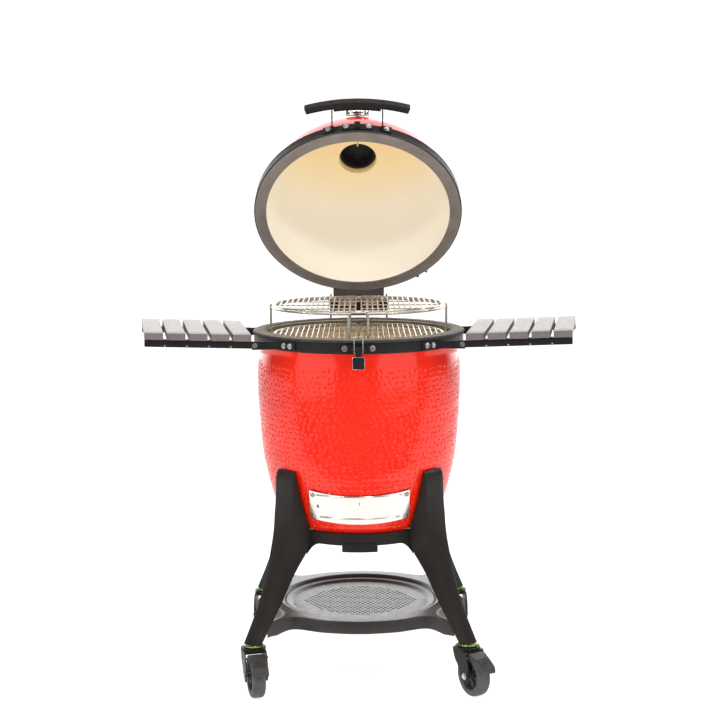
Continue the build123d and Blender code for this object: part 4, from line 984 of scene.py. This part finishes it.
def tray():
    """The dished shelf: a perforated floor, a bead round it, a wavy deck and four aprons."""
    floor, edge, thick = 162.0, 176.0, 2.2

    def in_lens(x, y, grow=0.0):
        half_w, half_d = 151 + grow, 133 + grow
        return abs(x) < half_w and abs(y) < half_d * math.cos(math.pi / 2 * min(1, abs(x) / half_w)) ** 0.62

    pitch, hole = 13.2, 4.5
    points, loops, centres = [], [], []
    row, y = 0, -12 * pitch * 0.866
    while y < 12.1 * pitch * 0.866:
        for i in range(-14, 15):
            x = i * pitch + (pitch / 2 if row % 2 else 0)
            if in_lens(x, y, -4):
                centres.append((x, y))
                ring = [(x + hole * math.cos(a), y + hole * math.sin(a))
                        for a in np.radians(np.arange(30, 390, 60))]
                loops.append([len(points) + k for k in range(6)])
                points += ring
        row += 1
        y += pitch * 0.866
    rim = [(177 * math.cos(a), 177 * math.sin(a)) for a in np.radians(np.arange(0, 360, 3))]
    edges = [(loop[k], loop[(k + 1) % 6]) for loop in loops for k in range(6)]
    start = len(points)
    points += rim
    edges += [(start + k, start + (k + 1) % len(rim)) for k in range(len(rim))]
    result = delaunay_2d_cdt([Vector(p) for p in points], edges, [], 1, 1e-4)
    flat = [tuple(v) for v in result[0]]
    centres = np.array(centres)
    kept = []
    for face in result[2]:
        mid = np.mean([flat[k] for k in face], axis=0)
        if np.min(np.linalg.norm(centres - mid, axis=1)) > hole * 0.84:
            kept.append(tuple(face))
    n = len(flat)
    top = np.array([(x, y, floor) for x, y in flat])
    low = top - np.array([0, 0, thick])
    counts = {}
    for face in kept:
        for a, b in zip(face, face[1:] + face[:1]):
            counts[(a, b)] = True
    rims = [(a, b) for a, b in counts if (b, a) not in counts]
    faces = kept + [tuple(k + n for k in reversed(f)) for f in kept] + [(b, a, a + n, b + n) for a,
            b in rims]
    parts = [(np.vstack([top, low]), faces)]
    profile = [(176.9, floor), (179, floor + 0.8), (184, 167.3), (187, 168.3), (190, 168.6), (193.5, 170.2),
               (197, 168.6), (200, 168.4), (204.5, 172.5), (208, 175.4), (212, edge)]
    under = [(r, z - thick) for r, z in reversed(profile)]
    parts.append(lathe(profile + under, 240))
    side = smooth_curve([(-232, -235), (-217, -221), (-163, -197), (-90, -226), (0, -239), (90, -226),
                         (163, -197),
                         (217, -221), (235, -232)], 6)
    outline = []
    for turn in (0, 90, 180, 270):
        flat_side = np.column_stack([side, np.zeros(len(side))])
        outline += [tuple(p[:2]) for p in turn_z(flat_side, turn)]
    outline = np.array(outline)
    turns = np.arctan2(outline[:, 1], outline[:, 0])
    reach = np.linalg.norm(outline, axis=1)
    rings = [(0.0, edge), (0.35, edge), (0.7, edge), (0.93, edge), (0.985, edge - 0.5), (1.0, edge - 2.2)]
    corner = np.clip((reach - 262) / 40, 0, 1) ** 1.3
    drop = 31 + 9 * corner
    rows = []
    for t, z in rings:
        r = 211.9 + (reach - 211.9) * t
        rows.append(np.column_stack([r * np.cos(turns), r * np.sin(turns), np.full(len(r), z)]))
    rows.append(np.column_stack([outline, edge - drop]))
    inner_reach = reach - thick
    rows.append(np.column_stack([inner_reach * np.cos(turns), inner_reach * np.sin(turns), edge - drop]))
    rows.append(np.column_stack([inner_reach * np.cos(turns), inner_reach * np.sin(turns),
                                 np.full(len(turns), edge - 3)]))
    r = np.full(len(turns), 211.9)
    rows.append(np.column_stack([r * np.cos(turns), r * np.sin(turns), np.full(len(turns), edge - thick)]))
    m, count = len(turns), len(rows)
    faces = []
    for i in range(count):
        k = (i + 1) % count
        for j in range(m):
            l = (j + 1) % m
            faces.append((i * m + j, i * m + l, k * m + l, k * m + j))
    parts.append((np.vstack(rows), faces))
    for deg in LEGS.values():
        tab = prism(rounded([(296, -13), (351, -13), (351, 13), (296, 13)], 4), edge - 3, edge - 0.6, "xyz")
        parts.append(moved(tab, lambda p, d=deg: turn_z(p, d)))
    piece("shelf_pan", join(*parts), "cart", TRAY, "bottom_tray", smooth=38)


cart()
tray()


# ---------------------------------------------------------------- casters

TRAILS = {"front_left": -75.0, "front_right": -60.0, "rear_right": -82.0, "rear_left": -97.0}


def on_caster(shape, name):
    """A shape made about the swivel pin, x along the trail."""
    leg = math.radians(LEGS[name])
    pts = turn_z(shape[0], TRAILS[name])
    return pts + np.array([367 * math.cos(leg), 367 * math.sin(leg), 0]), shape[1]


def wheel_shape():
    tyre = rounded([(35, -16.5), (46.5, -16.5), (51.0, -13.5), (52.5, -8), (52.5, 8), (51.0, 13.5),
                    (46.5, 16.5),
                    (35, 16.5)], 2.5, 3)
    lines = []
    for z in (-6, 0, 6):
        lines.append(lathe(rounded([(51.4, z - 1.1), (52.5, z - 1.0), (52.5, z + 1.0), (51.4, z + 1.1)],
                                   0.3, 2), 72))
    hub = [lathe(rounded([(4.1, -14), (12, -14), (12, -5), (33, -4), (35.5, -12), (36, -12), (36, 12),
                          (35.5, 12),
                          (33, 4), (12, 5), (12, 14), (4.1, 14)], 1.0, 2), 72)]
    for i in range(6):
        a = 60 * i
        rib = block((11, -1.6, -11), (34, 1.6, 11))
        hub.append(moved(rib, lambda p, a=a: turn_z(p, a)))
    spacer = lathe(rounded([(4.1, -21.5), (9, -21.5), (9, 21.5), (4.1, 21.5)], 0.6, 2), 36)

    def stand(points):
        out = np.array(points)
        out[:, 1], out[:, 2] = -points[:, 2], points[:, 1]
        return out + np.array([28, 0, 52.5])
    return (moved(join(lathe(tyre, 96), *lines), stand), moved(join(*hub, spacer), stand))


def fork_shape():
    """The pressed fork: a race plate, a bridge and two tapering cheeks, with the axle's nuts."""
    parts = [lathe(rounded([(5.1, 114.4), (30, 114.4), (31, 115.5), (31, 119.2), (29.5, 120.3),
                            (5.1, 120.3)], 1.0), 60)]
    bridge = rounded([(-27, -28), (31, -28), (31, 28), (-27, 28)], 5, 4)
    parts.append(prism(bridge, 110.2, 114.6, "xyz"))
    side = rounded([(-26, 112), (30, 112), (43, 82), (41, 47), (36, 40.5), (22, 40.5), (14, 48),
                    (-4, 76), (-15, 86)], 7, 4)
    for low, high in ((25.2, 28.0), (-28.0, -25.2)):
        parts.append(prism(side, low, high, "xzy"))
    ends = []
    for sign in (-1, 1):
        nut = placed(hex_bolt(6.4, 4.4, 8.2), (28, sign * 28.1, 52.5), (0, sign, 0))
        ends.append(nut)
    axle = tube([(28, -31, 52.5), (28, 31, 52.5)], 4.0, 24)
    return join(*parts), join(*ends, axle)


def pedal_shape():
    """The ribbed toe pedal with its cheeks and pin."""
    plate = rounded([(36, 111.8), (60, 104), (87, 89), (91.8, 80), (91.6, 71.8), (88.5, 71.2),
                     (86, 83.5), (62, 97.5),
                     (36, 107.5)], 2.5, 3)
    parts = [prism(plate, -20.5, 20.5, "xzy")]
    for i in range(5):
        x = 63 + 4.6 * i
        z = 104 - (x - 60) * 0.5
        parts.append(prism(rounded([(x - 1, z - 2), (x + 1.2, z - 2.6), (x + 1.2, z + 0.9),
                                    (x - 1, z + 1.5)], 0.5, 2),
                           -18, 18, "xzy"))
    for low, high in ((19.2, 22.4), (-22.4, -19.2)):
        parts.append(prism(rounded([(32, 98), (44, 98), (60, 97), (52, 106), (36, 111)], 2, 2), low,
                           high, "xzy"))
    parts.append(tube([(38, -29.5, 102), (38, -19, 102)], 2.5, 16))
    parts.append(tube([(38, 19, 102), (38, 29.5, 102)], 2.5, 16))
    return join(*parts)


def casters():
    tyre, hub = wheel_shape()
    races = []
    for name in LEGS:
        braked = name.startswith("front")
        fork, metalwork = fork_shape()
        piece(f"fork_{name}_shell", on_caster(fork, name), f"fork_{name}", BLACK,
              f"caster_fork_{name}", bevel=0.6, segments=2)
        piece(f"fork_{name}_axle", on_caster(metalwork, name), f"fork_{name}", ZINC, bevel=0.3,
              segments=2)
        piece(f"wheel_{name}_tyre", on_caster(tyre, name), f"wheel_{name}", TYRE,
              f"caster_wheel_{name}")
        piece(f"wheel_{name}_hub", on_caster(hub, name), f"wheel_{name}", HUB, bevel=0.4,
              segments=2)
        if braked:
            piece(f"pedal_{name}_toe", on_caster(pedal_shape(), name), f"pedal_{name}", PEDAL,
                  f"brake_pedal_{name}", bevel=0.5, segments=2)
        race = [lathe(rounded([(6, 120.9), (23, 120.9), (25, 122.5), (25, 125), (21, 127.9), (6, 127.9)],
                              1.2, 3), 60)]
        race.append(lathe([(0, 104), (9, 104), (9, 108), (0, 108)], 24))
        race.append(lathe([(0, 105), (4.9, 105), (4.9, 137), (0, 137)], 24))
        race.append(moved(hex_bolt(7, 5, 9), lambda p: p + np.array([0, 0, 132.6])))
        races.append(on_caster(join(*race), name))
    piece("caster_races", join(*races), "cart", RACE, "caster_mounts", bevel=0.3, segments=2)


casters()


# ---------------------------------------------------------------- side shelves

def shelf(side):
    """Five boards on two angle-iron arms, tilted up a little at the outer end."""
    turn, tilt = math.radians(SHELF_TURN), math.radians(2.5)
    name = "left" if side < 0 else "right"
    top, pitch, boards, tones = 895.5, 53.4, [], []
    rng = random.Random(5 + side)

    def set_out(points):
        pts = np.array(points, float)
        u, z = pts[:, 0] - 293, pts[:, 2] - top
        uu = 293 + u * math.cos(tilt) - z * math.sin(tilt)
        zz = top + u * math.sin(tilt) + z * math.cos(tilt)
        out = np.empty_like(pts)
        out[:, 0] = side * uu * math.cos(turn) + side * pts[:, 1] * math.sin(turn)
        out[:, 1] = -uu * math.sin(turn) + pts[:, 1] * math.cos(turn)
        out[:, 2] = zz
        return out

    for i in range(5):
        low = 293 + i * pitch
        section = rounded([(low, top - 17), (low + 45, top - 17), (low + 45, top), (low, top)], 1.2, 3)
        cuts = [-175, -173.5, -120, -60, 0, 60, 120, 173.5, 175]
        pts, count = [], len(section)
        bow = rng.uniform(-0.25, 0.0)
        mid = (low + 22.5, top - 8.5)
        for v in cuts:
            shrink = 0.93 if abs(v) == 175 else 1.0
            lift = bow * (1 - (v / 175) ** 2)
            for a, b in section:
                pts.append((mid[0] + (a - mid[0]) * (0.97 if shrink < 1 else 1), v,
                            mid[1] + (b - mid[1]) * shrink + lift))
        faces = [tuple(range(count)), tuple((len(cuts) - 1) * count + k for k in reversed(range(count)))]
        for r in range(len(cuts) - 1):
            for k in range(count):
                n = (k + 1) % count
                faces.append((r * count + k, (r + 1) * count + k, (r + 1) * count + n, r * count + n))
        boards.append((np.array(pts), faces))
        tones += [rng.random()] * len(pts)
    shape = moved(join(*boards), set_out)
    obj = piece(f"boards_{name}", shape, f"shelf_{name}", BOARD, f"shelf_slats_{name}", smooth=50,
                attribute=("tone", tones))
    screws, arms = [], []
    for v_sign in (-1, 1):
        low, high = sorted((v_sign * 164.6, v_sign * 167.6))
        under = top - 17
        web = prism(rounded([(262, under - 18), (551.6, under - 18), (551.6, under), (262, under)], 4,
                            4), low, high, "xzy")
        inner, outer = sorted((v_sign * 142, v_sign * 167.6))
        lip = block((297, inner, under - 3), (551.6, outer, under))
        arms += [web, lip]
        for i in range(5):
            at = (293 + i * pitch + 22.5, v_sign * 154, under - 3)
            screws.append(placed(hex_bolt(4.2, 3.0, 6.0), at, (0, 0, -1)))
            if i < 4:
                stud = lathe([(0, 0), (2.4, 0), (2.4, 1.6), (1.6, 2.3), (0, 2.5)], 16)
                at = (293 + i * pitch + 49, v_sign * 167.6, under - 14.5)
                screws.append(placed(stud, at, (0, v_sign, 0)))
    piece(f"arms_{name}", moved(join(*arms), set_out), f"shelf_{name}", BLACK,
          f"shelf_arms_{name}", bevel=0.7, segments=2)
    piece(f"arm_screws_{name}", moved(join(*screws), set_out), f"shelf_{name}", ZINC, bevel=0.2,
          segments=2)
    pins = []
    for v_sign in (-1, 1):
        head = placed(hex_bolt(4.6, 3.6, 6.2), (285, v_sign * 167.7, 868), (0, v_sign, 0))
        pin = tube([(285, v_sign * 156, 868), (285, v_sign * 168, 868)], 3.0, 20)
        pins += [head, pin]

    def flat_out(points):
        out = np.array(points, float)
        u, v = points[:, 0], points[:, 1]
        out[:, 0] = side * (u * math.cos(turn) + v * math.sin(turn))
        out[:, 1] = -u * math.sin(turn) + v * math.cos(turn)
        return out
    piece(f"fold_pins_{name}", moved(join(*pins), flat_out), f"shelf_{name}", ZINC, bevel=0.25,
          segments=2)
    return obj


shelf(-1)
shelf(1)
soften("shelf_brackets", "cart", BLACK, 0.8)


# ---------------------------------------------------------------- draft door

def cone_r(z, off=0.0):
    return 214.0 + (z - 419.0) * (24.5 / 76.0) + off


soften("draft_frame", "cart", STEEL, 0.35)
soften("draft_door", "draft_door", STEEL, 0.3)


def draft_details():
    """Corner screws with a slot, and the small air slit in the left of the plate. The slots, a ring round
    each screw head and the slit are dark paint: painted shade for the recesses and gaps.
    """
    screws, painted_shade_marks = [], []
    for side in (-1, 1):
        for z, half_w in ((434, 115), (494, 117)):
            radius = cone_r(z, 1.6)
            turn = -math.pi / 2 + side * math.asin(half_w / radius)
            out = (math.cos(turn), math.sin(turn), -0.32)
            at = (radius * math.cos(turn), radius * math.sin(turn), z)
            head = lathe([(0, 0), (5.2, 0), (5.2, 0.9), (4.4, 2.0), (2.6, 2.6), (0, 2.7)], 32)
            screws.append(placed(head, at, out))
            # Dark cross slots and a dark ring round each head: painted shade for the slot and the gap round
            # the screw.
            painted_shade_marks.append(placed(block((-3.4, -0.5, 2.3), (3.4, 0.5, 2.85)), at, out))
            painted_shade_marks.append(placed(block((-0.5, -3.4, 2.3), (0.5, 3.4, 2.85)), at, out))
            painted_shade_marks.append(placed(lathe([(5.3, -0.4), (6.3, -0.4), (6.3, 0.25), (5.3, 0.25)], 32), at, out))
    piece("plate_screws", join(*screws), "cart", ZINC, "draft_screws", smooth=50)
    at_z, deg = 464.0, math.degrees(math.asin(-103 / cone_r(464)))
    turn = math.radians(FRONT + deg)
    radius = cone_r(at_z, 1.62)
    # The slit is a thin dark patch: painted shade for the opening.
    slit_shade = prism(rounded([(-2.4, -4.6), (2.4, -4.6), (2.4, 4.6), (-2.4, 4.6)], 1.6, 4), -0.4, 0.2, "xyz")
    painted_shade_marks.append(placed(slit_shade, (radius * math.cos(turn), radius * math.sin(turn), at_z),
                        (math.cos(turn), math.sin(turn), -0.32), (-math.sin(turn), math.cos(turn), 0)))
    piece("plate_painted_shade", join(*painted_shade_marks), "cart", PRINT_AND_SHADE, smooth=40)


draft_details()


# ---------------------------------------------------------------- hinge

def springs():
    coils = []
    for side in (-1, 1):
        path = []
        turns, start, end = 9, 13.0, 57.0
        for k in range(turns * 16 + 1):
            a = 2 * math.pi * k / 16
            path.append((side * (start + (end - start) * k / (turns * 16)), PIVOT_Y + 10.3 * math.cos(a),
                         PIVOT_Z + 10.3 * math.sin(a)))
        coils.append(tube(path, 1.7, 8))
    piece("lid_springs", join(*coils), "cart", SPRING, "hinge_springs", smooth=60)


soften("hinge_base", "cart", HINGE, 0.9)
soften("hinge_arm", "dome", HINGE, 0.9)
soften("hinge_pin", "cart", ZINC, 0.8)
springs()


# ---------------------------------------------------------------- handle and latch

def handle():
    """The arched bar: a front and an underside, with a deeper grip between the posts."""
    half = math.degrees(math.asin(129 / 430))
    step = math.degrees(math.asin(60 / 430))
    low, high = 937.0, 959.0
    rows, pts, count = [], [], 0
    for t in np.linspace(-half, -step, 12):
        rows.append((t, 424.6))
    for t in np.linspace(-step, step, 25):
        rows.append((t, 417.6))
    for t in np.linspace(step, half, 12):
        rows.append((t, 424.6))
    for t, inner in rows:
        section = rounded([(inner, low + 2.2), (inner + 0.8, low), (441.6, low), (442.4, low + 0.8),
                           (442.4, high - 4),
                           (438.4, high), (inner + 12, high), (inner + 9, high - 4)], 0.9, 2)
        count = len(section)
        ang = math.radians(FRONT + t)
        pts += [(r * math.cos(ang), r * math.sin(ang) + 113.9, z) for r, z in section]
    faces = [tuple(range(count)), tuple((len(rows) - 1) * count + k for k in reversed(range(count)))]
    for i in range(len(rows) - 1):
        for k in range(count):
            n = (k + 1) % count
            faces.append((i * count + k, i * count + n, (i + 1) * count + n, (i + 1) * count + k))
    piece("grip_bar", (np.array(pts), faces), "dome", GRIP, "handle_bar", lid=True, bevel=0.4,
          smooth=30,
          segments=2)
    heads = []
    for side in (-1, 1):
        y = 113.9 - math.sqrt(442.3 ** 2 - 63.5 ** 2)
        heads.append(placed(lathe([(0, 0), (4.2, 0), (4.2, 0.8), (2.8, 1.9), (0, 2.2)], 28),
                            (side * 63.5, y, 949), (0, -1, 0)))
    piece("grip_screws", join(*heads), "dome", BLACK, lid=True, smooth=50)


handle()
soften("handle_posts", "dome", BLACK, 0.6)
soften("latch_keeper", "dome", BLACK, 0.6)
soften("latch_bracket", "cart", BLACK, 1.0)
soften("latch_lever", "latch_lever", BLACK, 0.7)


def paddle_edge():
    """The polished edge round the face of the latch's paddle."""
    y, corners = -290.9, [(-14.4, 817.6), (14.4, 817.6), (14.4, 847.4), (-14.4, 847.4)]
    path = bent([(x, y, z) for x, z in corners + corners[:1]], 2, 3)
    piece("paddle_edge", tube(path[:-1], 0.7, 8, True), "latch_lever", ZINC, smooth=60)


paddle_edge()


def bail():
    y, low, high = -289.5, 858.0, 896.0
    path = bent([(-10.5, y, low), (-10.5, y, high), (10.5, y, high), (10.5, y, low)], 5, 6)
    loop = tube(path + [(0, y, low)], 1.5, 12, True)
    piece("latch_wire", loop, "latch_bail", ZINC, "latch_bail", smooth=60)


bail()


# ---------------------------------------------------------------- thermometer and vent

def gauge():
    """The thermometer: bezel, printed dial with plain marks, needle, domed glass and probe."""
    tilt = math.radians(34)
    out = (0, -math.cos(tilt), math.sin(tilt))
    at = (0, -218, RIM + 142)

    def on_dome(shape):
        return placed(shape, at, out, (1, 0, 0))

    cup = [(0, 0.6), (32, 0.6), (33, 1.6), (33.5, 3.5), (33.5, 12.5), (32.7, 14.1), (31.3, 14.5),
           (30.4, 13.8),
           (30.2, 12.4), (30.8, 11.2), (30.8, 3.2), (0, 3.2)]
    stem = lathe([(0, -79.5), (1.2, -79.2), (2, -78), (2, -8), (3.3, -7), (3.3, 1), (0, 1)], 28)
    piece("gauge_bezel", on_dome(join(lathe(cup, 90), stem)), "dome", BEZEL, "thermometer_case",
          lid=True,
          smooth=35)
    piece("gauge_dial", on_dome(lathe([(1.1, 4.4), (30.7, 4.4), (30.7, 5.6), (1.1, 5.6)], 72)), "dome",
          DIAL,
          "thermometer_dial", lid=True)
    ticks = []
    for i in range(28):
        a = math.radians(225 - 10 * i)
        size = 4.4 if i % 3 == 0 else 2.4
        tick = block((28.0 - size, -0.35, 5.58), (28.0, 0.35, 5.66))
        ticks.append(moved(tick, lambda p, a=a: turn_z(p, math.degrees(a))))
    ticks.append(lathe([(28.5, 5.58), (29.0, 5.58), (29.0, 5.66), (28.5, 5.66)], 90))
    piece("gauge_marks", on_dome(join(*ticks)), "dome", PRINT_AND_SHADE, lid=True)
    hand = prism([(-5, -1.1), (-5, 1.1), (19.5, 0.35), (20.5, 0), (19.5, -0.35)], 6.8, 7.5, "xyz")
    boss = lathe([(0, 4.6), (1.0, 4.6), (1.0, 6.2), (3.1, 6.3), (3.1, 7.9), (2.2, 8.6), (0, 8.7)], 28)
    piece("gauge_hand", on_dome(join(hand, boss)), "pointer", NEEDLE, "thermometer_pointer",
          lid=True)
    lens = [(0, 10.6), (30.1, 10.6), (30.1, 11.9)]
    lens += [(30.1 * math.sin(t), 11.9 + 1.8 * math.cos(t)) for t in np.linspace(math.pi / 2 * 0.9, 0, 8)]
    piece("gauge_glass", on_dome(lathe(lens, 72)), "dome", GLASS, lid=True)


def vent():
    """The top vent: a casting in the chimney hole, and its cap and damper above."""
    base = [(44, 258), (49.5, 258), (49.5, 272), (51, 272.2), (73, 265.8), (74, 266.5), (74, 269.6),
            (70, 272.5),
            (64.5, 276), (62.3, 279), (62.0, 283), (64, 286.2), (71, 287.6), (72, 289), (72, 292.2),
            (71, 293),
            (47, 293), (44, 290)]
    parts = [lathe([(r, RIM + z) for r, z in base], 120)]
    ear = rounded([(62, -11), (84, -11), (93, -7), (95, 0), (93, 7), (84, 11), (62, 11)], 4, 4)
    parts.append(prism(ear, RIM + 288.2, RIM + 292.9, "xyz"))
    parts.append(moved(lathe([(0, RIM + 292), (4, RIM + 292), (4, RIM + 305.4), (3.2, RIM + 306),
                              (0, RIM + 306)], 32),
                       lambda p: p + np.array([84, 0, 0])))
    piece("vent_seat", join(*parts), "dome", CAST, "vent_base", lid=True, bevel=0.6,
          smooth=42)
    soften("vent_cap", "vent_cap", CAST, 0.8)
    soften("vent_disc", "vent_disc", CAST, 0.8)


gauge()
vent()


# ---------------------------------------------------------------- inside pieces kept as they are

soften("firebox", "cart", FIRE_CLAY, 2.0)
soften("fire_ring", "cart", FIRE_CLAY, 2.0)
soften("charcoal_grate", "cart", IRON, 1.2)


# ---------------------------------------------------------------- floor, lights and camera

CAMERA_X, CAMERA_BACK, CAMERA_HEIGHT = 0.0081, 3.8468, 1.3040

def floor():
    mesh = bpy.data.meshes.new("studio_floor")
    mesh.from_pydata([(-9, -0.85, 0), (9, -0.85, 0), (9, 11, 0), (-9, 11, 0)], [], [(0, 1, 2, 3)])
    plane = bpy.data.objects.new("studio_floor", mesh)
    bpy.context.scene.collection.objects.link(plane)
    s = Surface("studio_floor", rough=0.7, Specular_IOR_Level=0.1, Emission_Strength=0.82)
    s.shader.inputs["Emission Color"].default_value = (1, 1, 1, 1)
    s.colour(s.ramp(s.noise(0.8, 2.0), (0.3, (0.44, 0.44, 0.437)), (0.7, (0.47, 0.47, 0.466))))
    mesh.materials.append(s.material)


def softbox(name, azimuth, distance, height, width, tall, radiance, aim=0.75):
    """A rectangular light; azimuth is from the front, positive to the right."""
    a = math.radians(azimuth)
    place = Vector((distance * math.sin(a), AXIS_Y - distance * math.cos(a), height))
    data = bpy.data.lights.new(name, "AREA")
    data.shape, data.size, data.size_y = "RECTANGLE", width, tall
    data.energy = radiance * math.pi * width * tall
    lamp = bpy.data.objects.new(name, data)
    lamp.location = place
    lamp.rotation_mode = "QUATERNION"
    lamp.rotation_quaternion = (Vector((0, AXIS_Y, aim)) - place).to_track_quat("-Z", "Y")
    lamp.visible_camera = False
    bpy.context.scene.collection.objects.link(lamp)
    return lamp


def studio():
    world = bpy.data.worlds.new("studio")
    bpy.context.scene.world = world
    world.use_nodes = True
    tree = world.node_tree
    back = tree.nodes["Background"]
    coords = tree.nodes.new("ShaderNodeTexCoord")
    split = tree.nodes.new("ShaderNodeSeparateXYZ")
    tree.links.new(coords.outputs["Generated"], split.inputs[0])
    behind = tree.nodes.new("ShaderNodeMapRange")
    for socket, value in (("From Min", 0.5), ("From Max", 0.75), ("To Min", 0.17), ("To Max", 2.8)):
        behind.inputs[socket].default_value = value
    tree.links.new(split.outputs["Y"], behind.inputs["Value"])
    path = tree.nodes.new("ShaderNodeLightPath")
    pick = tree.nodes.new("ShaderNodeMix")
    tree.links.new(path.outputs["Is Camera Ray"], pick.inputs[0])
    tree.links.new(behind.outputs["Result"], pick.inputs[2])
    pick.inputs[3].default_value = 1.1
    tree.links.new(pick.outputs[0], back.inputs["Strength"])
    back.inputs["Color"].default_value = (1, 1, 1, 1)
    softbox("left_box", -49, 2.7, 1.3, 2.4, 2.3, 1.1)
    softbox("right_box", 44, 2.7, 1.3, 2.3, 2.3, 1.1)
    for turn, height in ((-78, 2.3), (-34, 2.9), (12, 3.2), (48, 2.6), (96, 2.1)):
        softbox("bulb", turn, 2.6, height, 0.3, 0.3, 42.0)
    softbox("top_box", 10, 0.5, 3.2, 2.6, 2.2, 1.8)
    bounce = softbox("floor_bounce", 0, 2.2, 0.02, 4.4, 2.4, 2.1, 4.0)
    bounce.visible_glossy = False


def camera():
    data = bpy.data.cameras.new("photo_camera")
    data.lens, data.sensor_width = 74.354, 36.0
    data.clip_start, data.clip_end = 0.1, 60
    obj = bpy.data.objects.new("photo_camera", data)
    tilt = Matrix.Rotation(math.radians(90 - 7.49), 4, "X")
    roll = Matrix.Rotation(math.radians(-0.35), 4, "Z")
    place = Matrix.Translation((CAMERA_X, AXIS_Y - CAMERA_BACK, CAMERA_HEIGHT))
    obj.matrix_world = place @ tilt @ roll
    bpy.context.scene.collection.objects.link(obj)
    bpy.context.scene.camera = obj


floor()
studio()
camera()
bpy.context.scene.view_settings.view_transform = "Standard"
